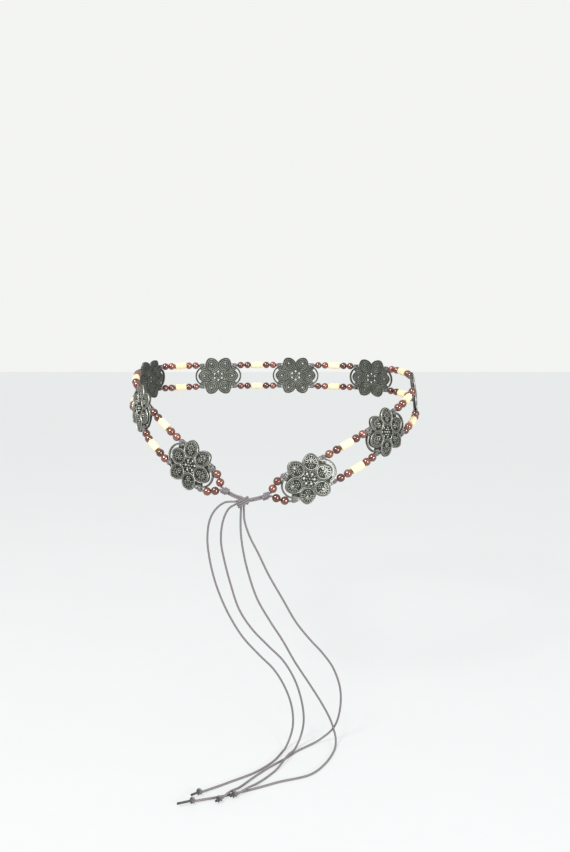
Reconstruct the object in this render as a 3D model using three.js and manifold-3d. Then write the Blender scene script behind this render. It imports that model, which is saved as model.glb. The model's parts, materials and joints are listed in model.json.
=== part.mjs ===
// A beaded belt as it hangs on the hips: cast filigree flowers joined by two
// strings of round and tube beads, tied in front with waxed cord.
// Millimetres, +Z up, front towards -Y. The origin is on the wearer's axis, at
// the level between the low front and the high back of the loop.
import * as THREE from 'three';
import { mergeVertices } from 'three/addons/utils/BufferGeometryUtils.js';
import Module from 'manifold-3d';

const wasm = await Module();
wasm.setup();

// The chain: how many flowers, and the beads between them
const FLOWERS_EACH_SIDE = 4; // and one more at the middle of the back
const ROUND_BEAD_DIAMETER = 8;
const ROUND_BEADS_IN_A_ROW = 2;
const TUBE_BEAD_LENGTH = 14;
const TUBE_BEAD_DIAMETER = 7.5;
const TUBE_BEAD_END_DIAMETER = 6.4;
const BEAD_GAP = 0.25; // bare cord between two bead faces
const CORD_DIAMETER = 2;
const STRAND_SPACING = 25; // between the upper and the lower string
const STUB_LENGTH = 1.2; // bare cord between a flower and its first bead
const SEAT_GAP = 0.3; // between pieces that meet
const SLANT_GAP = 0.5; // more, where a cord meets a face at a slant

// The cast flower
const PETAL_COUNT = 6;
const PETAL_REACH = 24; // from the middle to a petal's tip
const PETAL_OVERLAP = 1.05; // by which a petal runs past the line to its neighbour
const RAIL_WIDTH = 1.7; // of the arc beyond an end petal
const RAIL_GAP_WIDTH = 0.9; // of the crescent between rail and petal
const RAIL_GAP_LENGTH = 17;
const SHOULDER_SETBACK = 5.7; // of the tab that carries a string, behind the rail
const SHOULDER_OVERHANG = 2.2; // of that tab beyond the string's middle
const BASE_THICKNESS = 1.8;
const PETAL_RISE = 1.1; // of a raised petal over the base
const PETAL_BORDER = 0.9; // base left bare round a raised petal
const BOSS_RADIUS = 2.7; // the rosette in the middle
const BOSS_RISE = 1.6;
const RING_GAP_INNER = 3.4; // the ring of gaps round the rosette
const RING_GAP_OUTER = 6.2;
const RING_BRIDGE = 1.5; // metal left between two of them
const PETAL_GAP_LENGTH = 4.2;
const PETAL_GAP_WIDTH = 3;
const DOME_RISE = 2; // of the middle over the edge

// The loop: the plan it takes at each level, and how it drops to the front
const WAIST_HALF_WIDTH = 143.5;
const FRONT_DEPTH_SHARE = 0.81; // of the half width at the same level
const BACK_DEPTH_SHARE = 0.6;
const HIP_FLARE = 0.113; // of half width for each millimetre down
const PLAN_SQUARENESS = 2.1; // 2 is an ellipse
const BACK_LEVEL = 44.5;
const FRONT_DROP = 108;
const RIGHT_RISE_ANGLE = 77.5; // degrees from the low point, where most of the drop is made up
const LEFT_RISE_ANGLE = 56;
const RISE_SHARPNESS = 1.3;
const LOW_POINT_ANGLE = -8.8; // degrees, positive to +X
const KNOT_ANGLE = -9.6;

// The fastening in front
const TIE_KNOT_WIDTH = 16;
const TIE_KNOT_HEIGHT = 13;
const TIE_KNOT_SAG = 1.8; // of its middle below the cords that it joins
const TIE_KNOT_THICKNESS = 7.5;
const TIE_KNOT_TILT = 27; // degrees up to +X
const TIE_LENGTH = 8.2; // of bare double cord on each side of the knot
const END_KNOT_LENGTH = 8;
const END_KNOT_DIAMETER = 7.4;
const END_BEADS = 2;
const END_KNOT_SPREAD = 3; // between the two strings at the end knot
const END_BEAD_SPREADS = [0.42, 0.84]; // shares of the strings' spacing, from the knot out
const END_TUCK = 0.5; // by which the slanting end strings are shorter
const END_LEAN = 0.15; // share of an end string's bare cord that is at its knot
const TAIL_KNOT_DIAMETER = 6;
const TAIL_KNOT_LENGTH = 4;
const FLOOR_LEVEL = -300; // of the surface that the ends trail on
const TAIL_TIP = { outer_left: 6, inner_left: 2.5, inner_right: 11, outer_right: 2.5 };

// The four hanging ends, from the tie knot to their own knots, point by point
const TAIL_ROUTES = {
  outer_left: [
    [-35.1, -128.3, -64.5], [-46, -125.6, -66.2], [-55, -124, -73.8], [-60.3, -123.2, -84.5],
    [-62.3, -123.3, -101], [-61, -124.2, -116], [-56.5, -125.8, -137], [-50, -127.2, -156],
    [-41, -129, -175], [-29, -130.4, -194], [-14, -131.4, -210.5], [0, -131.5, -225],
    [10.5, -130.8, -243], [17, -130.2, -263], [18, -130.3, -281], [15, -132.5, -292.5],
    [10, -141, -299], [0, -161, -299], [-16, -179, -299], [-42, -197, -299], [-60, -210, -298],
  ],
  inner_left: [
    [-34.8, -128.2, -66.8], [-41.5, -126.4, -71.4], [-46, -125.7, -79.5], [-48.8, -125.6, -91],
    [-49.2, -126, -105], [-46, -127.2, -122], [-40.5, -128.7, -143], [-32.5, -130.1, -167],
    [-21, -131, -185], [-5, -131.8, -202], [8.5, -131.5, -216], [19.5, -130.8, -235],
    [26.5, -130, -258], [28.3, -130, -277], [25.5, -131.5, -291], [20, -141, -298.2],
    [13.5, -155.5, -296.2], [1.5, -177, -299], [-13.5, -197, -298.3], [-21.5, -206.7, -296.5],
    [-30, -213.5, -298],
  ],
  inner_right: [
    [-30.2, -128.7, -69.3], [-30.8, -127.9, -83], [-30.5, -128.1, -96], [-28, -129, -114],
    [-23.5, -129.9, -133], [-15.5, -131, -156.5], [-4, -131.8, -177], [8, -131.9, -196],
    [20, -131, -218], [33, -129.6, -239], [46, -127.8, -261], [54, -127.3, -277],
    [57.3, -127.6, -287], [59, -129.2, -294.5], [57.5, -140, -299], [48, -163.5, -299],
    [33, -182.5, -299], [5, -194, -299], [-15, -203.5, -299], [-37.5, -213, -299],
    [-64, -222.7, -298],
  ],
  outer_right: [
    [-27.7, -128.7, -69.5], [-27.1, -128.2, -82.5], [-22.5, -128.9, -97], [-14, -130, -114],
    [-5, -131, -133], [8, -131.8, -156], [21, -131.6, -179], [34, -130.6, -196],
    [46, -129, -210], [56.5, -127, -226], [63.5, -125, -249], [62.5, -124.7, -272],
    [57, -124.9, -286.3], [43, -128, -297], [23, -143, -299], [12.5, -155, -299],
    [-4, -171.5, -299], [-17.5, -187.5, -299], [-29, -203.5, -298.2], [-36.5, -212.6, -296.5],
    [-42.5, -219.5, -298],
  ],
};

// How finely the round shapes are faceted
const BEAD_SIDES = 10;
const CORD_SIDES = 8;
const LOOP_SAMPLES = 1440;

const radians = THREE.MathUtils.degToRad;

// Worked out from the sizes above
const beadRadius = ROUND_BEAD_DIAMETER / 2;
const cordRadius = CORD_DIAMETER / 2;
const petalCentre = (PETAL_REACH - PETAL_OVERLAP) / (1 + Math.sin(Math.PI / PETAL_COUNT));
const petalRadius = PETAL_REACH - petalCentre;
const railRadius = petalRadius + PETAL_BORDER + RAIL_GAP_WIDTH + RAIL_WIDTH;
const railReach = petalCentre + railRadius;
const shoulderReach = railReach - SHOULDER_SETBACK;
const rowLength = ROUND_BEADS_IN_A_ROW * (ROUND_BEAD_DIAMETER + BEAD_GAP);
const beadChainLength = 2 * rowLength + TUBE_BEAD_LENGTH;
const flowerToBead = shoulderReach + SEAT_GAP + STUB_LENGTH;
const pitch = 2 * flowerToBead + beadChainLength;
const endChainLength = END_BEADS * ROUND_BEAD_DIAMETER + (END_BEADS - 1) * BEAD_GAP;
const knotToTie = (TIE_KNOT_WIDTH / 2) * Math.cos(radians(TIE_KNOT_TILT)) + SLANT_GAP;
const endKnotAt = knotToTie + TIE_LENGTH + SEAT_GAP + END_KNOT_LENGTH / 2;
const firstFlowerAt = endKnotAt + END_KNOT_LENGTH / 2 + SEAT_GAP + endChainLength + flowerToBead - END_TUCK;
const loopLength = 2 * firstFlowerAt + 2 * FLOWERS_EACH_SIDE * pitch;

// Solids from three.js geometry, and back

function solidOf(geometry) {
  const bare = geometry.clone();
  bare.deleteAttribute('normal');
  bare.deleteAttribute('uv');
  const merged = mergeVertices(bare, 1e-4);
  const corners = merged.index.array;
  const faces = [];
  for (let i = 0; i < corners.length; i += 3) {
    const [a, b, c] = [corners[i], corners[i + 1], corners[i + 2]];
    if (a !== b && b !== c && c !== a) faces.push(a, b, c);
  }
  return new wasm.Manifold(new wasm.Mesh({
    numProp: 3,
    vertProperties: Float32Array.from(merged.attributes.position.array),
    triVerts: Uint32Array.from(faces),
  }));
}

function geometryOf(solid) {
  const mesh = solid.getMesh();
  const geometry = new THREE.BufferGeometry();
  geometry.setAttribute('position', new THREE.BufferAttribute(Float32Array.from(mesh.vertProperties), 3));
  geometry.setIndex(Array.from(mesh.triVerts));
  geometry.computeVertexNormals();
  return geometry;
}

function fused(geometries) {
  return geometryOf(geometries.map(solidOf).reduce((whole, piece) => whole.add(piece)));
}

// The loop

function level(angle) {
  const away = THREE.MathUtils.euclideanModulo(angle - LOW_POINT_ANGLE + 180, 360) - 180;
  const riseAngle = away > 0 ? RIGHT_RISE_ANGLE : LEFT_RISE_ANGLE;
  const rise = (turn) => Math.tanh((turn / riseAngle) ** RISE_SHARPNESS);
  return BACK_LEVEL - FRONT_DROP * (1 - rise(Math.abs(away)) / rise(180));
}

function surfacePoint(angle, height, scale) {
  const halfWidth = (WAIST_HALF_WIDTH + HIP_FLARE * (BACK_LEVEL - height)) * scale;
  const [s, c] = [Math.sin(radians(angle)), Math.cos(radians(angle))];
  const depth = halfWidth * (c > 0 ? FRONT_DEPTH_SHARE : BACK_DEPTH_SHARE);
  const reach = (Math.abs(s) ** PLAN_SQUARENESS + Math.abs(c) ** PLAN_SQUARENESS) ** (-1 / PLAN_SQUARENESS);
  return new THREE.Vector3(halfWidth * s * reach, -depth * c * reach, height);
}

function surfaceNormal(angle, height, scale) {
  const along = surfacePoint(angle + 0.5, height, scale).sub(surfacePoint(angle - 0.5, height, scale));
  const up = surfacePoint(angle, height + 1, scale).sub(surfacePoint(angle, height - 1, scale));
  return along.cross(up).normalize();
}

// A bead's centre line lies its own radius off the body
function loopPoint(angle, scale) {
  const height = level(angle);
  return surfacePoint(angle, height, scale).addScaledVector(surfaceNormal(angle, height, scale), beadRadius);
}

function loopTable(scale) {
  const table = [{ angle: KNOT_ANGLE, at: 0, point: loopPoint(KNOT_ANGLE, scale) }];
  for (let i = 1; i <= LOOP_SAMPLES; i++) {
    const angle = KNOT_ANGLE + (360 * i) / LOOP_SAMPLES;
    const point = loopPoint(angle, scale);
    const before = table[i - 1];
    table.push({ angle, at: before.at + point.distanceTo(before.point), point });
  }
  return table;
}

// The plan's scale at which the loop is exactly as long as the chain
function fittedScale() {
  let scale = 1;
  for (let i = 0; i < 12; i++) {
    scale *= (loopLength / loopTable(scale).at(-1).at) ** 0.95;
  }
  return scale;
}

const planScale = fittedScale();
const table = loopTable(planScale);

function angleAt(at) {
  const wrapped = THREE.MathUtils.euclideanModulo(at, loopLength);
  const i = Math.max(1, table.findIndex((row) => row.at >= wrapped));
  const [a, b] = [table[i - 1], table[i]];
  return THREE.MathUtils.mapLinear(wrapped, a.at, b.at, a.angle, b.angle);
}

// A place on the loop: x along the belt, y up, z out from the body
function placeAt(at) {
  const angle = angleAt(at);
  const origin = loopPoint(angle, planScale);
  const x = loopPoint(angle + 0.5, planScale).sub(loopPoint(angle - 0.5, planScale)).normalize();
  const z = surfaceNormal(angle, level(angle), planScale);
  z.addScaledVector(x, -z.dot(x)).normalize();
  const y = z.clone().cross(x);
  return new THREE.Matrix4().makeBasis(x, y, z).setPosition(origin);
}

const pointOn = (place, x, y, z) => new THREE.Vector3(x, y, z).applyMatrix4(place);

// The cast flower, in its own place: x along the belt, back face at z = 0

const petalAngles = Array.from({ length: PETAL_COUNT }, (_, i) => (360 / PETAL_COUNT) * i);

const polar = (radius, angle) => [radius * Math.cos(radians(angle)), radius * Math.sin(radians(angle))];

// How far a ray from the middle runs to the far side of a circle
function reachOfCircle(angle, centreAngle, centre, radius) {
  const off = radians(angle - centreAngle);
  const inside = radius ** 2 - (centre * Math.sin(off)) ** 2;
  return inside > 0 && Math.cos(off) > 0 ? centre * Math.cos(off) + Math.sqrt(inside) : 0;
}

// How far a ray runs inside the tab that carries a string
function reachOfShoulder(angle) {
  const [c, s] = polar(1, angle).map(Math.abs);
  const top = STRAND_SPACING / 2 + SHOULDER_OVERHANG;
  const foot = Math.sqrt(railRadius ** 2 - (shoulderReach - petalCentre) ** 2);
  return s / c >= (foot / shoulderReach) * 0.999 ? Math.min(shoulderReach / c, top / s) : 0;
}

// The angles at which one quarter of the outline has a corner
function outlineAngles() {
  const foot = Math.sqrt(railRadius ** 2 - (shoulderReach - petalCentre) ** 2);
  const corner = STRAND_SPACING / 2 + SHOULDER_OVERHANG;
  const tab = [foot, corner].map((y) => THREE.MathUtils.radToDeg(Math.atan2(y, shoulderReach)));
  return [12, ...tab, 42, 51, 69, 80];
}

function flowerOutline() {
  const quarter = outlineAngles();
  const mirrored = quarter.map((a) => 180 - a).reverse();
  const half = [0, ...quarter, 90, ...mirrored];
  return [...half, ...half.map((a) => a + 180)].map((angle) => {
    const petals = petalAngles.map((a) => reachOfCircle(angle, a, petalCentre, petalRadius));
    const rails = [0, 180].map((a) => reachOfCircle(angle, a, petalCentre, railRadius));
    const tabs = Math.abs(Math.sin(radians(angle))) < 0.7 ? reachOfShoulder(angle) : 0;
    return new THREE.Vector2(...polar(Math.max(...petals, ...rails, tabs), angle));
  });
}

// A four-cornered gap, long along its own angle
function leafGap(centre, angle, length, width) {
  const [cx, cy] = polar(centre, angle);
  const turn = radians(angle);
  const path = new THREE.Path();
  path.setFromPoints([0, 90, 180, 270].map((a) => {
    const [x, y] = [(length / 2) * Math.cos(radians(a)), (width / 2) * Math.sin(radians(a))];
    return new THREE.Vector2(
      cx + x * Math.cos(turn) - y * Math.sin(turn),
      cy + x * Math.sin(turn) + y * Math.cos(turn),
    );
  }));
  return path;
}

// One of the gaps round the rosette
function ringGap(angle) {
  const half = (radius) => 180 / PETAL_COUNT - THREE.MathUtils.radToDeg(RING_BRIDGE / 2 / radius);
  const corners = [
    [RING_GAP_INNER, 0], [RING_GAP_OUTER, -half(RING_GAP_OUTER)], [RING_GAP_OUTER, half(RING_GAP_OUTER)],
  ];
  const path = new THREE.Path();
  path.setFromPoints(corners.map(([r, a]) => new THREE.Vector2(...polar(r, angle + a))));
  return path;
}

// The crescent between an end petal and its rail
function crescentGap(side) {
  const outer = railRadius - RAIL_WIDTH;
  const half = THREE.MathUtils.radToDeg(RAIL_GAP_LENGTH / 2 / outer);
  const inner = petalRadius + PETAL_BORDER;
  const shares = [-1, -0.4, 0.4, 1];
  const edge = [
    ...shares.map((k) => polar(outer, half * k)),
    ...shares.slice(1, 3).reverse().map((k) => polar(inner, half * k)),
  ];
  const path = new THREE.Path();
  path.setFromPoints(edge.map(([x, y]) => new THREE.Vector2(side * (petalCentre + x), side * y)));
  return path;
}

function extruded(shape, low, high) {
  return new THREE.ExtrudeGeometry(shape, { depth: high - low, bevelEnabled: false, curveSegments: 1 })
    .translate(0, 0, low);
}

// A raised petal: a leaf, blunt at its tip
function petalShape(angle) {
  const radius = petalRadius - PETAL_BORDER;
  const [cx, cy] = polar(petalCentre, angle);
  const corners = [-100, -40, 40, 100].map((a) => polar(radius, angle + a));
  const root = [polar(radius * 1.05, angle + 180)];
  return new THREE.Shape([...corners, ...root].map(([x, y]) => new THREE.Vector2(cx + x, cy + y)));
}

function flower() {
  const petalGapAt = petalCentre + 1.5;
  const sidePetals = petalAngles.filter((a) => a % 180 !== 0);
  const plate = new THREE.Shape(flowerOutline());
  plate.holes.push(...petalAngles.map((a) => ringGap(a + 180 / PETAL_COUNT)));
  plate.holes.push(...[1, -1].map(crescentGap));
  let solid = solidOf(extruded(plate, 0, BASE_THICKNESS));
  const top = BASE_THICKNESS + PETAL_RISE;
  for (const angle of petalAngles) solid = solid.add(solidOf(extruded(petalShape(angle), 0.2, top)));
  for (const angle of sidePetals) {
    const hole = new THREE.Shape(leafGap(petalGapAt, angle, PETAL_GAP_LENGTH, PETAL_GAP_WIDTH).getPoints());
    solid = solid.subtract(solidOf(extruded(hole, -1, top + 1)));
  }
  const boss = new THREE.CylinderGeometry(BOSS_RADIUS * 0.6, BOSS_RADIUS, BOSS_RISE + 0.2, PETAL_COUNT);
  boss.rotateX(Math.PI / 2).translate(0, 0, BASE_THICKNESS + BOSS_RISE / 2 - 0.1);
  solid = solid.add(solidOf(boss));
  return domed(geometryOf(solid));
}

// Raises the middle of a flat piece over its edge
function domed(geometry) {
  const p = geometry.attributes.position;
  for (let i = 0; i < p.count; i++) {
    const share = (p.getX(i) ** 2 + p.getY(i) ** 2) / railReach ** 2;
    p.setZ(i, p.getZ(i) + DOME_RISE * Math.max(0, 1 - share));
  }
  geometry.computeVertexNormals();
  return geometry;
}

// Strings of beads: a turned profile bent along a curve

// Profile points of the beads: [distance along the string, radius]
function roundBead(from) {
  const pole = Math.asin(cordRadius / beadRadius);
  return [1, 2, 3].map((k) => {
    const turn = pole + ((Math.PI - 2 * pole) * k) / 4;
    return [from + beadRadius * (1 - Math.cos(turn)), beadRadius * Math.sin(turn)];
  });
}

function tubeBead(from) {
  const rings = [[0.04, TUBE_BEAD_END_DIAMETER], [0.5, TUBE_BEAD_DIAMETER], [0.96, TUBE_BEAD_END_DIAMETER]];
  return rings.map(([share, diameter]) => [from + share * TUBE_BEAD_LENGTH, diameter / 2]);
}

// The whole profile of one string; kinds is a row of 'round' and 'tube'
function stringProfile(kinds, before, after) {
  const profile = [[0, 0], [0, cordRadius]];
  let at = before;
  kinds.forEach((kind, i) => {
    if (i) profile.push([at - BEAD_GAP / 2, cordRadius]);
    profile.push(...(kind === 'tube' ? tubeBead(at) : roundBead(at)));
    at += (kind === 'tube' ? TUBE_BEAD_LENGTH : ROUND_BEAD_DIAMETER) + BEAD_GAP;
  });
  const end = at - BEAD_GAP + after;
  profile.push([end, cordRadius], [end, 0]);
  return profile;
}

function bentString(kinds, curve, outward, lean = 0.5) {
  const length = curve.getLength();
  const chain = kinds.reduce((sum, k) => sum + (k === 'tube' ? TUBE_BEAD_LENGTH : ROUND_BEAD_DIAMETER), 0)
    + BEAD_GAP * (kinds.length - 1);
  const spare = length - chain;
  const profile = stringProfile(kinds, spare * lean, spare * (1 - lean)).map(([at, r]) => new THREE.Vector2(r, at));
  const lathe = new THREE.LatheGeometry(profile, BEAD_SIDES);
  const p = lathe.attributes.position;
  for (let i = 0; i < p.count; i++) {
    const share = THREE.MathUtils.clamp(p.getY(i) / length, 0, 1);
    const tangent = curve.getTangentAt(share);
    const out = outward.clone().addScaledVector(tangent, -outward.dot(tangent)).normalize();
    const side = out.clone().cross(tangent);
    const point = curve.getPointAt(share).addScaledVector(side, p.getX(i)).addScaledVector(out, p.getZ(i));
    p.setXYZ(i, point.x, point.y, point.z);
  }
  return geometryOf(facingOut(solidOf(lathe), lathe));
}

// A bent lathe may come out inside out; its volume tells
function facingOut(solid, geometry) {
  if (solid.volume() > 0) return solid;
  const index = geometry.index.array;
  for (let i = 0; i < index.length; i += 3) [index[i + 1], index[i + 2]] = [index[i + 2], index[i + 1]];
  return solidOf(geometry);
}

// Round cord along chosen points, one step from each point to the next
function cordAlong(points, radius = cordRadius) {
  const route = new THREE.CatmullRomCurve3(points, false, 'centripetal');
  route.getUtoTmapping = (share) => share;
  const section = new THREE.Shape(Array.from({ length: CORD_SIDES }, (_, i) => {
    return new THREE.Vector2(...polar(radius, (360 / CORD_SIDES) * (i + 0.5)));
  }));
  return new THREE.ExtrudeGeometry(section, {
    steps: points.length - 1,
    extrudePath: route,
    curveSegments: 1,
  });
}

// Wraps of cord lying round a knot's middle, in its own place
function wrap(radius, at, tilt, stretch = 1) {
  const ring = new THREE.TorusGeometry(radius, cordRadius * 1.1, 4, 8);
  ring.rotateY(Math.PI / 2).scale(1, stretch, 1);
  return ring.rotateZ(radians(tilt)).translate(at, 0, 0);
}

function endKnot() {
  const core = new THREE.CylinderGeometry(END_KNOT_DIAMETER * 0.33, END_KNOT_DIAMETER * 0.33, END_KNOT_LENGTH, 6);
  const radius = END_KNOT_DIAMETER / 2 - cordRadius * 1.1;
  return fused([core.rotateZ(Math.PI / 2), wrap(radius, -1.5, 14), wrap(radius, 1.6, 6)]);
}

function tieKnot() {
  const core = new THREE.SphereGeometry(1, 8, 5).rotateZ(Math.PI / 2);
  core.scale(TIE_KNOT_WIDTH / 2, TIE_KNOT_HEIGHT * 0.36, TIE_KNOT_THICKNESS * 0.38);
  const ring = TIE_KNOT_THICKNESS / 2 - cordRadius * 1.1;
  const stretch = TIE_KNOT_HEIGHT / TIE_KNOT_THICKNESS;
  return fused([core, wrap(ring, -2.2, 24, stretch), wrap(ring, 2.6, -20, stretch * 0.85)]);
}

// A tail's knot and the cut tip beyond it
function tailKnot(tip) {
  const core = new THREE.CylinderGeometry(cordRadius, cordRadius, TAIL_KNOT_LENGTH / 2 + tip, 6);
  core.rotateZ(Math.PI / 2).translate(TAIL_KNOT_LENGTH / 4 + tip / 2, 0, 0);
  const radius = TAIL_KNOT_DIAMETER / 2;
  const belly = new THREE.SphereGeometry(radius, 8, 5).rotateZ(Math.PI / 2).scale(TAIL_KNOT_LENGTH / 2 / radius, 1, 1);
  return fused([core, belly]);
}

// The materials, one for each finish

const finish = {
  metal: new THREE.MeshStandardMaterial({ color: 0x7d8076, roughness: 0.42, metalness: 0.85 }),
  bead: new THREE.MeshStandardMaterial({ color: 0x7a3f30, roughness: 0.25, metalness: 0 }),
  cord: new THREE.MeshStandardMaterial({ color: 0x857a7e, roughness: 0.75, metalness: 0 }),
};

const belt = new THREE.Group();
belt.name = 'beaded_belt';

function add(name, geometry, material, place) {
  const mesh = new THREE.Mesh(geometry, material);
  mesh.name = name;
  if (place) place.decompose(mesh.position, mesh.quaternion, mesh.scale);
  belt.add(mesh);
}

// The flowers, counted from the front on each side

const flowerCount = 2 * FLOWERS_EACH_SIDE + 1;

function flowerName(i) {
  if (i < FLOWERS_EACH_SIDE) return `right_${i + 1}`;
  return i === FLOWERS_EACH_SIDE ? 'back' : `left_${flowerCount - i}`;
}

const flowerGeometry = flower();
const flowerPlaces = Array.from({ length: flowerCount }, (_, i) => {
  const place = placeAt(firstFlowerAt + i * pitch);
  const seat = SEAT_GAP - beadRadius; // its back lies just off the body
  return place.multiply(new THREE.Matrix4().makeTranslation(0, 0, seat));
});
flowerPlaces.forEach((place, i) => add(`medallion_${flowerName(i)}`, flowerGeometry, finish.metal, place));

// Where a string leaves a flower, on the shoulder's end face
function shoulderPoint(place, side, upper) {
  const share = (shoulderReach ** 2 + (STRAND_SPACING / 2) ** 2) / railReach ** 2;
  const lift = cordRadius + DOME_RISE * Math.max(0, 1 - share);
  const reach = shoulderReach + SEAT_GAP + SLANT_GAP;
  return pointOn(place, side * reach, (upper * STRAND_SPACING) / 2, lift);
}

// The strings between the flowers

for (let i = 0; i < flowerCount - 1; i++) {
  const middle = firstFlowerAt + (i + 0.5) * pitch;
  const outward = new THREE.Vector3().setFromMatrixColumn(placeAt(middle), 2);
  const kinds = ['round', 'round', 'tube', 'round', 'round'];
  for (const [label, upper] of [['upper', 1], ['lower', -1]]) {
    const inner = [-0.36, -0.18, 0, 0.18, 0.36].map((share) => {
      return pointOn(placeAt(middle + share * beadChainLength), 0, (upper * STRAND_SPACING) / 2, 0);
    });
    const curve = new THREE.CatmullRomCurve3([
      shoulderPoint(flowerPlaces[i], 1, upper), ...inner, shoulderPoint(flowerPlaces[i + 1], -1, upper),
    ], false, 'centripetal');
    const name = i < FLOWERS_EACH_SIDE ? `right_${i + 1}` : `left_${flowerCount - 1 - i}`;
    add(`strand_${name}_${label}`, bentString(kinds, curve, outward), finish.bead);
  }
}

// The two ends: strings that close in on a knot, and the double cord to the tie knot

const knotPlace = placeAt(0);
const tieKnotLift = TIE_KNOT_THICKNESS / 2 - beadRadius + SEAT_GAP;
const knotLift = new THREE.Matrix4().makeTranslation(0, -TIE_KNOT_SAG, tieKnotLift);
const tiePlace = knotPlace.clone().multiply(knotLift)
  .multiply(new THREE.Matrix4().makeRotationZ(radians(TIE_KNOT_TILT)));

for (const [label, side] of [['right', 1], ['left', -1]]) {
  const flowerPlace = side > 0 ? flowerPlaces[0] : flowerPlaces[flowerCount - 1];
  const endPlace = placeAt(side * endKnotAt);
  const outward = new THREE.Vector3().setFromMatrixColumn(endPlace, 2);
  add(`end_knot_${label}`, endKnot(), finish.cord, endPlace);
  for (const [height, upper] of [['upper', 1], ['lower', -1]]) {
    const off = END_KNOT_LENGTH / 2 + SEAT_GAP + 2 * SLANT_GAP;
    const near = pointOn(endPlace, side * off, (upper * END_KNOT_SPREAD) / 2, 0);
    const beads = END_BEAD_SPREADS.map((spread, i) => {
      const along = ((i + 0.5) / END_BEADS) * (endChainLength - END_TUCK);
      const at = side * (endKnotAt + END_KNOT_LENGTH / 2 + SEAT_GAP + along);
      return pointOn(placeAt(at), 0, (upper * spread * STRAND_SPACING) / 2, 0);
    });
    const curve = new THREE.CatmullRomCurve3([near, ...beads, shoulderPoint(flowerPlace, -side, upper)]);
    const kinds = Array(END_BEADS).fill('round');
    add(`end_string_${label}_${height}`, bentString(kinds, curve, outward, END_LEAN), finish.bead);
  }
  const cords = [0.85, -0.85].map((off) => {
    const from = pointOn(placeAt(side * knotToTie), 0, off * cordRadius, 0);
    const to = pointOn(endPlace, -side * (END_KNOT_LENGTH / 2 + SEAT_GAP + SLANT_GAP), off * cordRadius, 0);
    return cordAlong([from, from.clone().lerp(to, 0.5), to]);
  });
  add(`tie_${label}`, fused(cords), finish.cord);
}
add('tie_knot', tieKnot(), finish.cord, tiePlace);

// The hanging ends and the knot on each

for (const [label, route] of Object.entries(TAIL_ROUTES)) {
  const points = route.map((p) => new THREE.Vector3(...p));
  add(`tail_${label}`, geometryOf(solidOf(cordAlong(points))), finish.cord);
  const [before, end] = points.slice(-2);
  const x = end.clone().sub(before).setZ(0).normalize();
  const z = new THREE.Vector3(0, 0, 1);
  const centre = end.clone().addScaledVector(x, TAIL_KNOT_LENGTH / 2 + SEAT_GAP + SLANT_GAP / 2);
  centre.z = FLOOR_LEVEL + TAIL_KNOT_DIAMETER / 2;
  const place = new THREE.Matrix4().makeBasis(x, z.clone().cross(x), z).setPosition(centre);
  add(`tail_knot_${label}`, tailKnot(TAIL_TIP[label]), finish.cord, place);
}

export default belt;
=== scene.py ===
# %% [markdown]
# # A beaded belt of filigree flowers
# The belt is a chain. Nine cast flowers are joined by two strings of glossy
# round beads and pale tube beads, and waxed cord ties it in front, where four
# long ends hang down and trail. It is seen here as it lies round the hips.
# The construction model comes first: it says where every piece belongs, and
# each piece made below takes the place of one plain solid in it.

# %% Load the frame
import json
import math
from dataclasses import dataclass, field

import bpy
import numpy as np
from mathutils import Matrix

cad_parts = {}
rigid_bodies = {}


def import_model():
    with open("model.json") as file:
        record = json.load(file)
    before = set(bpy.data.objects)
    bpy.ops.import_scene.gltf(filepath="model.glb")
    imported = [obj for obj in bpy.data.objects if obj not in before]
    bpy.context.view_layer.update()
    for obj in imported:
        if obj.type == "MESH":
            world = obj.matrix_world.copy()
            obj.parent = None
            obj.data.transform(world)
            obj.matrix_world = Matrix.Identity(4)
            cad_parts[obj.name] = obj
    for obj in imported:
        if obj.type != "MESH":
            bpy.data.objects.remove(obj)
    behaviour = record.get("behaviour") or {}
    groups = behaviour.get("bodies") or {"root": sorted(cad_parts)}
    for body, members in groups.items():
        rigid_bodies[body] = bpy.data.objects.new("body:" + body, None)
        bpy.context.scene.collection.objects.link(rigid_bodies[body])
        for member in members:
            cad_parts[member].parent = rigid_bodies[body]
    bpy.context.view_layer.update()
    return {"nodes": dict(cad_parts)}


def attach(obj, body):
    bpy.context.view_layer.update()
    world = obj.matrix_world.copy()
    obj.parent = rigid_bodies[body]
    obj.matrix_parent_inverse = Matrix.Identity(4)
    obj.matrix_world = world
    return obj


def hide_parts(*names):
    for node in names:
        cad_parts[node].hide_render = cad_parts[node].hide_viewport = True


for leftover in list(bpy.data.objects):
    bpy.data.objects.remove(leftover)
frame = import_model()
MM = 0.001
UP = np.array([0.0, 0.0, 1.0])
FRONTWARDS = np.array([0.0, -1.0, 0.0])
chance = np.random.default_rng(11)
print("plain solids:", len(frame["nodes"]))

# %% [markdown]
# ## The camera and the light
# The photographer stood a little above the belt and looked slightly down.
# The lens follows from how much smaller the far beads look than the near
# ones; its focal length is in pixels. Two soft lights, one high on the left
# and one low on the right, give each glossy bead its pair of highlights, and
# a pale sky fills the rest.

# %% Camera
PHOTO_HEIGHT = 852
FOCAL_LENGTH = 740
LOOK_DOWN = 5.86
CAMERA_PLACE = (0.0105, -0.803, 0.075)

camera_data = bpy.data.cameras.new("camera")
camera_data.sensor_fit = "VERTICAL"
camera_data.sensor_height = 36
camera_data.lens = camera_data.sensor_height * FOCAL_LENGTH / PHOTO_HEIGHT
camera = bpy.data.objects.new("camera", camera_data)
camera.location = CAMERA_PLACE
camera.rotation_euler = (math.radians(90 - LOOK_DOWN), 0, 0)
bpy.context.scene.collection.objects.link(camera)
bpy.context.scene.camera = camera
bpy.context.scene.view_settings.view_transform = "Standard"
print("lens:", round(camera_data.lens, 1), "mm")

# %% Lights and sky
SKY_COLOUR = (0.9, 0.91, 0.885, 1)
SKY_FALL = {"From Min": -0.75, "From Max": -0.1, "To Min": 0.4, "To Max": 1.0}


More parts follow.
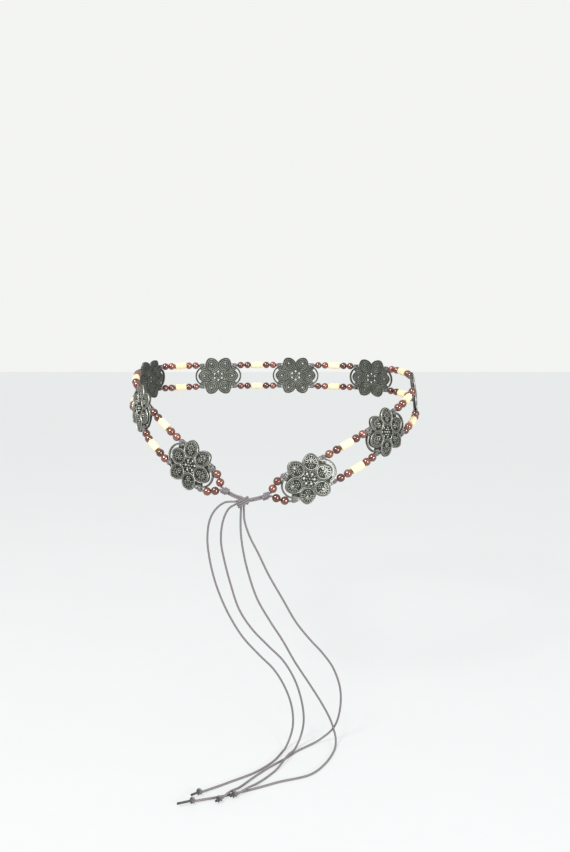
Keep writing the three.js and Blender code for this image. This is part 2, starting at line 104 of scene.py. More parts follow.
def soft_light(name, place, aim, width, watts, colour=(1, 1, 1)):
    """A square area light at place that shines towards aim."""
    data = bpy.data.lights.new(name, "AREA")
    data.size = width
    data.energy = watts
    data.color = colour
    light = bpy.data.objects.new(name, data)
    light.location = place
    towards = np.array(aim) - np.array(place)
    flat = math.hypot(towards[0], towards[1])
    light.rotation_euler = (math.atan2(flat, -towards[2]), 0, math.atan2(-towards[0], towards[1]))
    bpy.context.scene.collection.objects.link(light)


soft_light("light_high_left", (-0.75, -1.0, 1.0), aim=(0, -0.1, -0.02), width=0.34, watts=26,
           colour=(1, 0.985, 0.96))
soft_light("light_low_right", (0.75, -1.15, 0.1), aim=(0, -0.1, -0.05), width=0.26, watts=13)


def make_sky():
    """A pale sky that darkens towards the photographer's side of the room: its strength
    runs from 0.4 to 1 as 0.8 north + 0.6 up runs from -0.75 to -0.1."""
    world = bpy.data.worlds.new("sky")
    world.use_nodes = True
    nodes, links = world.node_tree.nodes, world.node_tree.links
    direction = nodes.new("ShaderNodeTexCoord")
    along = nodes.new("ShaderNodeVectorMath")
    along.operation = "DOT_PRODUCT"
    along.inputs[1].default_value = (0, 0.8, 0.6)
    fall = nodes.new("ShaderNodeMapRange")
    fall.interpolation_type = "SMOOTHSTEP"
    for label, value in SKY_FALL.items():
        fall.inputs[label].default_value = value
    background = nodes["Background"]
    background.inputs["Color"].default_value = SKY_COLOUR
    links.new(direction.outputs["Generated"], along.inputs[0])
    links.new(along.outputs["Value"], fall.inputs["Value"])
    links.new(fall.outputs["Result"], background.inputs["Strength"])
    bpy.context.scene.world = world


make_sky()

# %% [markdown]
# ## Surfaces as arrays
# Every shape below is a grid of points: a row number and a column number give
# a point by some formula. The grid's neighbours make the faces. A small class
# carries the points and faces until they become a mesh, so that a surface can
# be copied, moved or joined to others as whole arrays.

# %% Surface


@dataclass
class Surface:
    """Points in millimetres, faces as point numbers, the place of each face corner on the
    grid (along, round), and named values that each point carries."""

    points: np.ndarray
    quads: np.ndarray
    quad_uv: np.ndarray
    triangles: np.ndarray = field(default_factory=lambda: np.zeros((0, 3), int))
    triangle_uv: np.ndarray = field(default_factory=lambda: np.zeros((0, 3, 2)))
    values: dict = field(default_factory=dict)


def grid_faces(rows, columns, wrap_rows=False):
    """Faces between neighbours of a grid, row by row: (r, c), (r+1, c), (r+1, c+1), (r, c+1).
    The last column joins the first, and so does the last row where rows are wrapped."""
    r = np.arange(rows if wrap_rows else rows - 1)
    r, c = np.meshgrid(r, np.arange(columns), indexing="ij")
    corner_r = np.stack([r, r + 1, r + 1, r], axis=-1).reshape(-1, 4)
    corner_c = np.stack([c, c, c + 1, c + 1], axis=-1).reshape(-1, 4)
    return (corner_r % rows) * columns + corner_c % columns, corner_r, corner_c


def joined(surfaces):
    """One surface of several: point numbers rise by the points that come before."""
    starts = np.cumsum([0] + [len(s.points) for s in surfaces[:-1]])
    names = surfaces[0].values.keys()
    return Surface(
        np.concatenate([s.points for s in surfaces]),
        np.concatenate([s.quads + n for s, n in zip(surfaces, starts)]),
        np.concatenate([s.quad_uv for s in surfaces]),
        np.concatenate([s.triangles + n for s, n in zip(surfaces, starts)]),
        np.concatenate([s.triangle_uv for s in surfaces]),
        {name: np.concatenate([s.values[name] for s in surfaces]) for name in names},
    )


def copies(surface, places, **each):
    """The surface at every 4 x 4 place, as one surface: point = turn times point plus shift.
    each gives a named value to all points of a copy."""
    places = np.asarray(places)
    count, size = len(places), len(surface.points)
    points = np.einsum("kij,pj->kpi", places[:, :3, :3], surface.points) + places[:, None, :3, 3]
    shift = (np.arange(count) * size)[:, None, None]
    values = {name: np.tile(value, count) for name, value in surface.values.items()}
    values.update({name: np.repeat(value, size) for name, value in each.items()})
    return Surface(
        points.reshape(-1, 3),
        (surface.quads[None] + shift).reshape(-1, 4),
        np.tile(surface.quad_uv, (count, 1, 1)),
        (surface.triangles[None] + shift).reshape(-1, 3),
        np.tile(surface.triangle_uv, (count, 1, 1)),
        values,
    )


# %% [markdown]
# A round section carried along a path makes cord, wire and string alike. The
# section needs two directions across the path. They come from the path's own
# direction and a chosen "up", such as straight out from the body.

# %% Sweeps and turned shapes


def normalised(v):
    """The same direction with length one."""
    return v / np.linalg.norm(v, axis=-1, keepdims=True)


def distances(path):
    """How far along the path each point lies: the running sum of the steps."""
    return np.concatenate([[0], np.cumsum(np.linalg.norm(np.diff(path, axis=0), axis=1))])


def swept(path, radius, sides, up, closed=False, flat=1.0):
    """With t the path's direction, s = t x up and n = s x t, the point at angle a is
    path + radius (cos a s + flat sin a n). An open sweep gets a centre point on each end.
    The radius is one number, or one for every point along and round."""
    if closed:
        t = normalised(np.roll(path, -1, axis=0) - np.roll(path, 1, axis=0))
    else:
        t = normalised(np.gradient(path, axis=0))
    s = normalised(np.cross(t, np.broadcast_to(up, path.shape)))
    n = np.cross(s, t)
    a = np.linspace(0, 2 * math.pi, sides, endpoint=False)
    r = np.broadcast_to(radius, (len(path), sides))[..., None]
    across = np.cos(a)[None, :, None] * s[:, None] + flat * np.sin(a)[None, :, None] * n[:, None]
    points = (path[:, None] + r * across).reshape(-1, 3)
    quads, row, column = grid_faces(len(path), sides, wrap_rows=closed)
    at = distances(np.vstack([path, path[:1]]))
    uv = np.stack([at[row], column / sides], axis=-1)
    if closed:
        return Surface(points, quads, uv)
    ring = np.arange(sides)
    last = (len(path) - 1) * sides
    start = np.stack([np.full(sides, len(points)), ring, (ring + 1) % sides], axis=1)
    end = np.stack([np.full(sides, len(points) + 1), last + (ring + 1) % sides, last + ring], axis=1)
    caps = np.concatenate([start, end])
    return Surface(np.vstack([points, path[:1], path[-1:]]), quads, uv, caps, np.zeros((len(caps), 3, 2)))


def turned(profile, sides):
    """A closed profile of (along x, radius) turned once round the x axis:
    (x, radius cos a, -radius sin a)."""
    a = np.linspace(0, 2 * math.pi, sides, endpoint=False)
    x = np.repeat(profile[:, :1], sides, axis=1)
    y = profile[:, 1:] * np.cos(a)
    z = -profile[:, 1:] * np.sin(a)
    quads, row, column = grid_faces(len(profile), sides, wrap_rows=True)
    uv = np.stack([row / len(profile), column / sides], axis=-1)
    return Surface(np.stack([x, y, z], axis=-1).reshape(-1, 3), quads, uv)


def smooth_path(points, step):
    """A centripetal Catmull-Rom curve through the points: three rounds of straight blends
    between neighbours, with knots spaced by the root of the distances. It is then measured
    and cut to equal steps."""
    p = np.asarray(points, float)
    p = np.vstack([2 * p[0] - p[1], p, 2 * p[-1] - p[-2]])
    knots = np.concatenate([[0], np.cumsum(np.linalg.norm(np.diff(p, axis=0), axis=1) ** 0.5)])
    t = np.linspace(knots[1], knots[-2], 40 * len(p))
    i = np.clip(np.searchsorted(knots, t, side="right") - 1, 1, len(p) - 3)
    k = [knots[i + j - 1] for j in range(4)]
    q = [p[i + j - 1] for j in range(4)]

    def blend(a, b, ka, kb):
        return a + (b - a) * ((t - ka) / (kb - ka))[:, None]

    first = [blend(q[j], q[j + 1], k[j], k[j + 1]) for j in range(3)]
    second = [blend(first[j], first[j + 1], k[j], k[j + 2]) for j in range(2)]
    curve = blend(second[0], second[1], k[1], k[2])
    at = distances(curve)
    even = np.linspace(0, at[-1], max(2, round(at[-1] / step)))
    return np.stack([np.interp(even, at, curve[:, axis]) for axis in range(3)], axis=1)


def length_of(path):
    """The sum of the steps."""
    return float(np.linalg.norm(np.diff(path, axis=0), axis=1).sum())


# %% Mesh from a surface
SURFACE_MAP = "along_and_round"
CREASE_ANGLE = 50


def piece(name, surface, material, slot, *nodes):
    """Puts the surface into a mesh in metres, and lets it ride and stand for its plain solids."""
    mesh = bpy.data.meshes.new(name)
    mesh.from_pydata(surface.points * MM, [], surface.quads.tolist() + surface.triangles.tolist())
    uv = np.concatenate([surface.quad_uv.reshape(-1, 2), surface.triangle_uv.reshape(-1, 2)])
    mesh.uv_layers.new(name=SURFACE_MAP).data.foreach_set("uv", uv.ravel())
    for value_name, value in surface.values.items():
        mesh.attributes.new(value_name, "FLOAT", "POINT").data.foreach_set("value", value)
    mesh.shade_smooth()
    mesh.set_sharp_from_angle(angle=math.radians(CREASE_ANGLE))
    mesh.materials.append(material)
    obj = bpy.data.objects.new(name, mesh)
    bpy.context.scene.collection.objects.link(obj)
    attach(obj, "root")
    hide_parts(*nodes)
    return obj


# %% [markdown]
# ## Materials
# Every finish is a network of nodes. Two effects are used by several of them,
# so each is a node group: grain, an unevenness of the surface at two scales,
# and wear and shade, which brightens what stands proud and darkens what lies
# low: a rubbed patina on the metal, and painted shade in the grooves of the cord.

# %% Node helpers


def link(tree, source, target):
    """Joins two sockets, or puts a plain number or colour on the second."""
    if isinstance(source, bpy.types.NodeSocket):
        tree.links.new(source, target)
    else:
        target.default_value = (*source, 1) if target.type == "RGBA" else source


def math_node(tree, operation, a, b=None, clamp=False):
    """One arithmetic step; a and b are sockets or plain numbers."""
    node = tree.nodes.new("ShaderNodeMath")
    node.operation = operation
    node.use_clamp = clamp
    for socket, value in zip(node.inputs, (a, b)):
        if value is not None:
            link(tree, value, socket)
    return node.outputs[0]


def scaled(tree, value, factor, offset):
    """value times factor, plus offset."""
    return math_node(tree, "ADD", math_node(tree, "MULTIPLY", value, factor), offset)


def mix_colours(tree, factor, first, second):
    """A blend of two colours by a factor; each may be a socket or a plain colour."""
    node = tree.nodes.new("ShaderNodeMix")
    node.data_type = "RGBA"
    for socket, value in ((0, factor), (6, first), (7, second)):
        link(tree, value, node.inputs[socket])
    return node.outputs[2]


def new_group(name, output, **inputs):
    """An empty node group with one output. Each input has its default, or None for a vector."""
    tree = bpy.data.node_groups.new(name, "ShaderNodeTree")
    for label, default in inputs.items():
        kind = "NodeSocketVector" if default is None else "NodeSocketFloat"
        socket = tree.interface.new_socket(label, in_out="INPUT", socket_type=kind)
        if default is not None:
            socket.default_value = default
    tree.interface.new_socket(output, in_out="OUTPUT", socket_type="NodeSocketFloat")
    return tree, tree.nodes.new("NodeGroupInput"), tree.nodes.new("NodeGroupOutput")


def use_group(tree, group, **values):
    """What the group gives in a tree, with its own values or links."""
    node = tree.nodes.new("ShaderNodeGroup")
    node.node_tree = group
    for label, value in values.items():
        link(tree, value, node.inputs[label])
    return node.outputs[0]


def new_material(name, **constants):
    """A material with its Principled shader; constants go on the shader's own sockets."""
    material = bpy.data.materials.new(name)
    material.use_nodes = True
    tree = material.node_tree
    shader = tree.nodes["Principled BSDF"]
    for label, value in constants.items():
        link(tree, value, shader.inputs[label.replace("_", " ")])
    return material, tree, shader


def add_bump(tree, shader, height, strength, distance):
    """A bump of the given height in metres, into the shader's normal."""
    bump = tree.nodes.new("ShaderNodeBump")
    bump.inputs["Strength"].default_value = strength
    bump.inputs["Distance"].default_value = distance
    link(tree, height, bump.inputs["Height"])
    link(tree, bump.outputs["Normal"], shader.inputs["Normal"])


def attribute(tree, name):
    """A value that the points carry."""
    node = tree.nodes.new("ShaderNodeAttribute")
    node.attribute_name = name
    return node.outputs["Fac"]


def object_place(tree):
    """The point's place in metres."""
    return tree.nodes.new("ShaderNodeTexCoord").outputs["Object"]


def surface_place(tree):
    """The point's place along and round its surface."""
    node = tree.nodes.new("ShaderNodeUVMap")
    node.uv_map = SURFACE_MAP
    return node.outputs["UV"]


# %% The grain group


def make_grain():
    """Fine plus coarse noise, one over the other, from 0 to 1. Size is in millimetres."""
    tree, inside, outside = new_group(
        "grain", "Grain", Place=None, Size=1.0, Coarseness=4.0, Contrast=1.0)
    fine_scale = math_node(tree, "DIVIDE", 1000.0, inside.outputs["Size"])
    coarse_scale = math_node(tree, "DIVIDE", fine_scale, inside.outputs["Coarseness"])
    layers = []
    for scale in (fine_scale, coarse_scale):
        noise = tree.nodes.new("ShaderNodeTexNoise")
        noise.inputs["Detail"].default_value = 3
        link(tree, inside.outputs["Place"], noise.inputs["Vector"])
        link(tree, scale, noise.inputs["Scale"])
        layers.append(math_node(tree, "SUBTRACT", noise.outputs["Fac"], 0.5))
    both = math_node(tree, "ADD", layers[0], layers[1])
    around_zero = math_node(tree, "MULTIPLY", both, inside.outputs["Contrast"])
    link(tree, math_node(tree, "ADD", around_zero, 0.5, clamp=True), outside.inputs["Grain"])
    return tree


grain = make_grain()
print("group:", grain.name)

# %% The wear and shade group


def make_wear_and_shade():
    """A mask from 0 in the recess to 1 on the crest: height above a level, sharpened, and
    broken up by grain. It gives the metal its rubbed patina and the cord its painted groove
    shade."""
    tree, inside, outside = new_group(
        "wear_and_shade", "Mask", Height=0.5, Level=0.4, Softness=0.3, Grain=0.5, Breakup=0.4)
    centred = math_node(tree, "SUBTRACT", inside.outputs["Grain"], 0.5)
    broken = math_node(tree, "MULTIPLY", centred, inside.outputs["Breakup"])
    height = math_node(tree, "ADD", inside.outputs["Height"], broken)
    above = math_node(tree, "SUBTRACT", height, inside.outputs["Level"])
    slope = math_node(tree, "DIVIDE", above, inside.outputs["Softness"])
    link(tree, math_node(tree, "ADD", slope, 0.5, clamp=True), outside.inputs["Mask"])
    return tree


wear_and_shade = make_wear_and_shade()
print("group:", wear_and_shade.name)

# %% [markdown]
# Antiqued casting: the metal is blackened all over and then rubbed, so the
# crests are dull silver and the recesses stay dark with a greenish cast. Each
# point of a flower carries its relief, which drives the wear mask.

# %% Cast metal
METAL_BLACKENED = (0.045, 0.048, 0.042)
METAL_RUBBED = (0.3, 0.305, 0.275)


def make_cast_metal():
    """Metal that is dark and dull below, paler and smoother where it is rubbed."""
    material, tree, shader = new_material("antiqued_casting", Metallic=1.0)
    place = object_place(tree)
    relief = attribute(tree, "relief")
    uneven = use_group(tree, grain, Place=place, Size=0.5, Coarseness=9.0, Contrast=1.1)
    mask = use_group(tree, wear_and_shade, Height=relief, Level=0.5, Softness=0.7,
                     Grain=uneven, Breakup=0.45)
    colour = mix_colours(tree, mask, METAL_BLACKENED, METAL_RUBBED)
    link(tree, colour, shader.inputs["Base Color"])
    link(tree, scaled(tree, mask, -0.16, 0.62), shader.inputs["Roughness"])
    pits = use_group(tree, grain, Place=place, Size=0.18, Coarseness=4.0, Contrast=1.0)
    add_bump(tree, shader, pits, 0.35, 0.00008)
    return material


cast_metal = make_cast_metal()
print("metal finish:", cast_metal.name)

# %% [markdown]
# The round beads look like lacquered copper: a warm brown with a metallic
# glow under a clear, very smooth coat. Each bead has its own tone.

# %% Round and tube beads
COPPER_DARK = (0.032, 0.015, 0.013)
COPPER_BRIGHT = (0.38, 0.15, 0.112)
BONE_STREAK = (0.72, 0.5, 0.25)
BONE_PALE = (0.95, 0.84, 0.58)
BONE_DARK_ENDS_HOLE_SHADE = (0.55, 0.4, 0.22)


def make_copper_bead():
    """Brown metal, clouded and of its own tone on each bead, under a clear coat."""
    material, tree, shader = new_material(
        "copper_bead", Metallic=0.8, Coat_Weight=0.8, Coat_Roughness=0.05, Specular_IOR_Level=0.6)
    place = object_place(tree)
    tone = attribute(tree, "tone")
    cloud = use_group(tree, grain, Place=place, Size=1.6, Coarseness=2.5, Contrast=0.7)
    shade = math_node(tree, "MULTIPLY", math_node(tree, "ADD", tone, cloud), 0.5)
    colour = mix_colours(tree, shade, COPPER_DARK, COPPER_BRIGHT)
    link(tree, colour, shader.inputs["Base Color"])
    link(tree, scaled(tree, cloud, 0.16, 0.16), shader.inputs["Roughness"])
    add_bump(tree, shader, cloud, 0.08, 0.0002)
    return material


def make_bone_tube():
    """Cream, with fine streaks along the bead, darker ends and painted shade in the hole."""
    material, tree, shader = new_material(
        "bone_tube", Roughness=0.34, Subsurface_Weight=0.12, Subsurface_Scale=0.003,
        Subsurface_Radius=(1.0, 0.7, 0.4))
    stretch = tree.nodes.new("ShaderNodeMapping")
    stretch.inputs["Scale"].default_value = (0.004, 0.03, 0)
    link(tree, surface_place(tree), stretch.inputs["Vector"])
    offset = tree.nodes.new("ShaderNodeVectorMath")
    link(tree, stretch.outputs["Vector"], offset.inputs[0])
    link(tree, object_place(tree), offset.inputs[1])
    streak = use_group(tree, grain, Place=offset.outputs[0], Size=1.2, Coarseness=3.0, Contrast=0.9)
    tint = mix_colours(tree, streak, BONE_STREAK, BONE_PALE)
    # The darker colour goes on the ends and, as painted shade, inside the hole.
    colour = mix_colours(tree, attribute(tree, "relief"), BONE_DARK_ENDS_HOLE_SHADE, tint)
    link(tree, colour, shader.inputs["Base Color"])
    add_bump(tree, shader, streak, 0.2, 0.0002)
    return material


copper_bead = make_copper_bead()
bone_tube = make_bone_tube()
print("bead finishes:", copper_bead.name, bone_tube.name)

# %% [markdown]
# Waxed cord is twisted cotton with a dull shine. The map along and round the
# cord carries the twist: a wave of (round, minus along over the lay length)
# gives slanting plies, with shade painted in darker where two plies meet. The
# four cut tips were sealed with heat: a value "sealed" on their points turns
# them nearly black.

# %% Waxed cord
CORD_DIAMETER = 2
CORD_RADIUS = CORD_DIAMETER / 2
PLIES = 3
LAY_LENGTH = 7
CORD_GROOVE_SHADE = (0.06, 0.053, 0.058)
CORD_RIDGE = (0.165, 0.147, 0.158)
CORD_SEALED = (0.008, 0.008, 0.012)


def make_waxed_cord():
    """Cord with painted shade in its ply grooves, paler on their ridges and black where sealed."""
    material, tree, shader = new_material("waxed_cotton", Specular_IOR_Level=0.45, Sheen_Weight=0.15)
    split = tree.nodes.new("ShaderNodeSeparateXYZ")
    link(tree, surface_place(tree), split.inputs[0])
    twist = math_node(tree, "DIVIDE", split.outputs["X"], LAY_LENGTH)
    phase = math_node(tree, "ADD", split.outputs["Y"], twist)
    turned_phase = math_node(tree, "MULTIPLY", phase, math.pi * PLIES)
    wave = math_node(tree, "ABSOLUTE", math_node(tree, "SINE", turned_phase))
    fuzz = use_group(tree, grain, Place=object_place(tree), Size=0.35, Coarseness=8.0, Contrast=1.0)
    # Painted shade: the grooves where two plies meet take the darker colour.
    mask = use_group(tree, wear_and_shade, Height=wave, Level=0.4, Softness=0.9, Grain=fuzz, Breakup=0.5)
    colour = mix_colours(tree, mask, CORD_GROOVE_SHADE, CORD_RIDGE)
    colour = mix_colours(tree, attribute(tree, "sealed"), colour, CORD_SEALED)
    link(tree, colour, shader.inputs["Base Color"])
    link(tree, scaled(tree, fuzz, 0.2, 0.45), shader.inputs["Roughness"])
    add_bump(tree, shader, scaled(tree, fuzz, 0.3, wave), 0.5, 0.0002)
    return material


waxed_cord = make_waxed_cord()
print("cord finish:", waxed_cord.name)

# %% [markdown]
# ## The hanging ends
# Four cords leave the front knot. Two swing out to the left, two drop
# straight, and all of them slide down the front, sweep to the right and turn
# back to the left on the table. Their routes are lists of points, each lying
# on the body's surface or on the table, and lifted where one cord crosses
# another.

# %% Cord routes
TAIL_ROUTES = {
    "outer_left": [
        (-35.1, -128.3, -64.5), (-46, -125.6, -66.2), (-55, -124, -73.8), (-60.3, -123.2, -84.5),
        (-62.3, -123.3, -101), (-61, -124.2, -116), (-56.5, -125.8, -137), (-50, -127.2, -156),
        (-41, -129, -175), (-29, -130.4, -194), (-14, -131.4, -210.5), (0, -131.5, -225),
        (10.5, -130.8, -243), (17, -130.2, -263), (18, -130.3, -281), (15, -132.5, -292.5),
        (10, -141, -299), (0, -161, -299), (-16, -179, -299), (-42, -197, -299),
        (-60, -210, -298),
    ],
    "inner_left": [
        (-34.8, -128.2, -66.8), (-41.5, -126.4, -71.4), (-46, -125.7, -79.5), (-48.8, -125.6, -91),
        (-49.2, -126, -105), (-46, -127.2, -122), (-40.5, -128.7, -143), (-32.5, -130.1, -167),
        (-21, -131, -185), (-5, -131.8, -202), (8.5, -131.5, -216), (19.5, -130.8, -235),
        (26.5, -130, -258), (28.3, -130, -277), (25.5, -131.5, -291), (20, -141, -298.2),
        (13.5, -155.5, -296.2), (1.5, -177, -299), (-13.5, -197, -298.3), (-21.5, -206.7, -296.5),
        (-30, -213.5, -298),
    ],
    "inner_right": [
        (-30.2, -128.7, -69.3), (-30.8, -127.9, -83), (-30.5, -128.1, -96), (-28, -129, -114),
        (-23.5, -129.9, -133), (-15.5, -131, -156.5), (-4, -131.8, -177), (8, -131.9, -196),
        (20, -131, -218), (33, -129.6, -239), (46, -127.8, -261), (54, -127.3, -277),
        (57.3, -127.6, -287), (59, -129.2, -294.5), (57.5, -140, -299), (48, -163.5, -299),
        (33, -182.5, -299), (5, -194, -299), (-15, -203.5, -299), (-37.5, -213, -299),
        (-64, -222.7, -298),
    ],
    "outer_right": [
        (-27.7, -128.7, -69.5), (-27.1, -128.2, -82.5), (-22.5, -128.9, -97), (-14, -130, -114),
        (-5, -131, -133), (8, -131.8, -156), (21, -131.6, -179), (34, -130.6, -196),
        (46, -129, -210), (56.5, -127, -226), (63.5, -125, -249), (62.5, -124.7, -272),
        (57, -124.9, -286.3), (43, -128, -297), (23, -143, -299), (12.5, -155, -299),
        (-4, -171.5, -299), (-17.5, -187.5, -299), (-29, -203.5, -298.2), (-36.5, -212.6, -296.5),
        (-42.5, -219.5, -298),
    ],
}
TAIL_TIPS = {"outer_left": 6, "inner_left": 2.5, "inner_right": 11, "outer_right": 2.5}
FLOOR_LEVEL = -300

# %% [markdown]
# A cord of three plies has a section with three soft lobes that turn with
# the lay. The radius is therefore a wave of the angle round and the distance
# along, over the whole grid at once.

# %% Twisted cord
GROOVE_DEPTH = 0.05
END_ROUNDING = 0.8
LANDING_START = 16
LANDING_STOP = 2
ROUTE_STEP = 0.7
TURN_STEP = 0.6


def cord_radius(path, sides):
    """Radius at each point along and round: a full radius, less a groove where two plies meet,
    by 1 - depth (1 - |sin(plies/2 (angle + turn))|)."""
    at = distances(path)[:, None]
    angle = np.linspace(0, 2 * math.pi, sides, endpoint=False)[None, :]
    lobe = np.abs(np.sin(PLIES / 2 * (angle + 2 * math.pi * at / LAY_LENGTH)))
    return CORD_RADIUS * (1 - GROOVE_DEPTH * (1 - lobe))


def twisted_cord(path, up, sides=12):
    """The path swept with the lobed radius, and rounded off over its first and last step."""
    radius = cord_radius(path, sides)
    radius[[0, -1]] *= END_ROUNDING
    return swept(path, radius, sides, up)


def off_surface(path):
    """The way off what the cord lies on: towards the front on the body, up on the table,
    and a blend of the two round the bend."""
    above_floor = path[:, 2:] - FLOOR_LEVEL
    lying = np.clip((LANDING_START - above_floor) / (LANDING_START - LANDING_STOP), 0, 1)
    return normalised((1 - lying) * FRONTWARDS + lying * UP)


def cord_piece(name, surfaces, node):
    """Surfaces of cord, joined into one piece."""
    return piece(name, joined(surfaces), waxed_cord, "waxed_cord", node)


LOWEST = np.array([-np.inf, -np.inf, FLOOR_LEVEL + CORD_RADIUS])
tail_paths = {label: np.maximum(smooth_path(route, ROUTE_STEP), LOWEST)
              for label, route in TAIL_ROUTES.items()}
for label, path in tail_paths.items():
    surface = twisted_cord(path, off_surface(path))
    cord_piece(f"hanging_end_{label}", [surface], f"tail_{label}")
    print(label, "is", round(length_of(path)), "mm long,", len(surface.quads), "faces")

# %% [markdown]
# Each end is stopped by an overhand knot, and beyond it the cut tip shows.
# A torus knot, which winds twice round the cord and three times through its
# own loop, has the crossings of a pulled-tight overhand knot.

# %% Small knots
END_KNOT_GAP = 0.55
TAIL_KNOT_LENGTH = 4
TAIL_KNOT_DIAMETER = 6
KNOT_RING, KNOT_SWING, KNOT_HEIGHT, KNOT_CORD = 1.15, 0.95, 1.15, 0.88
SEALED_LENGTH = 2.3
KNOT_DARKENING = 0.75
DARKENING_SLOPE = 0.7
SECTION_LEAN = 0.35


def place_matrix(origin, x, y, z):
    """A 4 x 4 place from an origin and three directions."""
    matrix = np.eye(4)
    matrix[:3, 0], matrix[:3, 1], matrix[:3, 2], matrix[:3, 3] = x, y, z, origin
    return matrix


def placed(surface, place):
    """The surface carried to a place."""
    return copies(surface, [place])


def torus_knot():
    """x = height sin 3t, (y, z) = (ring + swing cos 3t) (cos 2t, sin 2t), t once round."""
    t = np.linspace(0, 2 * math.pi, 110, endpoint=False)
    reach = KNOT_RING + KNOT_SWING * np.cos(3 * t)
    return np.stack([KNOT_HEIGHT * np.sin(3 * t), reach * np.cos(2 * t), reach * np.sin(2 * t)], axis=1)


def tail_knot(tip):
    """The knot round the cord, with the straight cord through it and on to the cut tip. The
    sealed value is 1 on the last of the tip, and rises to the darkening over the knot."""
    path = torus_knot()
    outward = path * (0, 1, 1) + (SECTION_LEAN, 0, 0)
    loops = swept(path, KNOT_CORD, 10, outward, closed=True)
    half = TAIL_KNOT_LENGTH / 2
    through = np.linspace((-half - END_KNOT_GAP, 0, 0), (half + tip, 0, 0), 24)
    whole = joined([loops, twisted_cord(through, UP)])
    x = whole.points[:, 0]
    sealed = np.clip(x - (half + tip - SEALED_LENGTH), 0, 1)
    whole.values["sealed"] = np.maximum(sealed, np.clip(x * DARKENING_SLOPE, 0, KNOT_DARKENING))
    return whole


for label, path in tail_paths.items():
    along = normalised((path[-1] - path[-3]) * np.array([1, 1, 0]))
    centre = path[-1] + along * (TAIL_KNOT_LENGTH / 2 + END_KNOT_GAP)
    centre[2] = FLOOR_LEVEL + TAIL_KNOT_DIAMETER / 2
    place = place_matrix(centre, along, np.cross(UP, along), UP)
    surface = placed(tail_knot(TAIL_TIPS[label]), place)
    cord_piece(f"end_stop_{label}", [surface], f"tail_knot_{label}")

# %% [markdown]
# ## The line of the belt
# The loop lies on the hips. Seen from above, the body is a squarish ellipse,
# deeper in front than behind, and wider the lower it is cut. Seen from the
# side, the belt drops from a high level back to a low point in front, more
# slowly on the right than on the left. The chain's own length fixes the size:
# the plan is scaled round by round until the loop is as long as the chain.

# %% Sizes of the chain
FLOWERS_EACH_SIDE = 4
ROUND_BEAD = 8
TUBE_LENGTH = 14
TUBE_WIDTH = 7.5
TUBE_END = 6.4
BEAD_GAP = 0.25
STRAND_SPACING = 25
STUB = 1.2
SEAT_GAP = 0.3
SLANT_GAP = 0.5
PETAL_REACH = 24
PETAL_RADIUS = 8.7
RAIL_REACH = 27.5
RAIL_WIDTH = 1.7
SHOULDER_REACH = 21.8
DOME_RISE = 2
TIE_KNOT_WIDTH = 16
TIE_KNOT_TILT = 27
TIE_KNOT_THICKNESS = 7.5
TIE_KNOT_SAG = 1.8
TIE_LENGTH = 8.2
END_KNOT_LENGTH = 8
END_BEADS = 2
END_KNOT_SPREAD = 3
END_BEAD_SPREADS = (0.42, 0.84)
END_TUCK = 0.5
END_LEAN = 0.15

chain = 2 * 2 * (ROUND_BEAD + BEAD_GAP) + TUBE_LENGTH
flower_to_bead = SHOULDER_REACH + SEAT_GAP + STUB
pitch = 2 * flower_to_bead + chain
end_chain = END_BEADS * ROUND_BEAD + (END_BEADS - 1) * BEAD_GAP
knot_to_tie = TIE_KNOT_WIDTH / 2 * math.cos(math.radians(TIE_KNOT_TILT)) + SLANT_GAP
end_knot_at = knot_to_tie + TIE_LENGTH + SEAT_GAP + END_KNOT_LENGTH / 2
first_flower_at = end_knot_at + END_KNOT_LENGTH / 2 + SEAT_GAP + end_chain + flower_to_bead - END_TUCK
loop_length = 2 * first_flower_at + 2 * FLOWERS_EACH_SIDE * pitch
print("loop:", round(loop_length, 1), "mm, flower to flower:", round(pitch, 1), "mm")

# %% The loop
HALF_WIDTH = 143.5
FRONT_SHARE = 0.81
BACK_SHARE = 0.6
HIP_FLARE = 0.113
SQUARENESS = 2.1
BACK_LEVEL = 44.5
FRONT_DROP = 108
RIGHT_RISE = 77.5
LEFT_RISE = 56
RISE_SHARPNESS = 1.3
LOW_POINT = -8.8
KNOT_ANGLE = -9.6
LOOP_POINTS = 1441
SCALE_ROUNDS = 12
SCALE_CAUTION = 0.95


def level(angle):
    """Height at an angle: the back's level less the drop times 1 - tanh((away / rise)^sharpness),
    scaled so that it is all made up half way round."""
    away = (angle - LOW_POINT + 180) % 360 - 180
    rise = np.where(away > 0, RIGHT_RISE, LEFT_RISE)
    made_up = np.tanh((np.abs(away) / rise) ** RISE_SHARPNESS) / np.tanh((180 / rise) ** RISE_SHARPNESS)
    return BACK_LEVEL - FRONT_DROP * (1 - made_up)


def body_point(angle, height, scale):
    """A superellipse: reach = (|sin|^k + |cos|^k)^(-1/k), times the half width at that height."""
    half = (HALF_WIDTH + HIP_FLARE * (BACK_LEVEL - height)) * scale
    s, c = np.sin(np.radians(angle)), np.cos(np.radians(angle))
    depth = half * np.where(c > 0, FRONT_SHARE, BACK_SHARE)
    reach = (np.abs(s) ** SQUARENESS + np.abs(c) ** SQUARENESS) ** (-1 / SQUARENESS)
    return np.stack(np.broadcast_arrays(half * s * reach, -depth * c * reach, height), axis=-1)


def off_body(angle, height, scale):
    """The direction off the body: the cross product of the ways round and up."""
    along = body_point(angle + 0.5, height, scale) - body_point(angle - 0.5, height, scale)
    up = body_point(angle, height + 1, scale) - body_point(angle, height - 1, scale)
    return normalised(np.cross(along, up))


def loop_point(angle, scale):
    """The line of the bead centres, half a bead off the body."""
    height = level(angle)
    return body_point(angle, height, scale) + ROUND_BEAD / 2 * off_body(angle, height, scale)


loop_angles = KNOT_ANGLE + 360 * np.linspace(0, 1, LOOP_POINTS)
plan_scale = 1.0
for _ in range(SCALE_ROUNDS):
    plan_scale *= (loop_length / length_of(loop_point(loop_angles, plan_scale))) ** SCALE_CAUTION
loop_at = distances(loop_point(loop_angles, plan_scale))
print("scale of the plan:", round(plan_scale, 4))


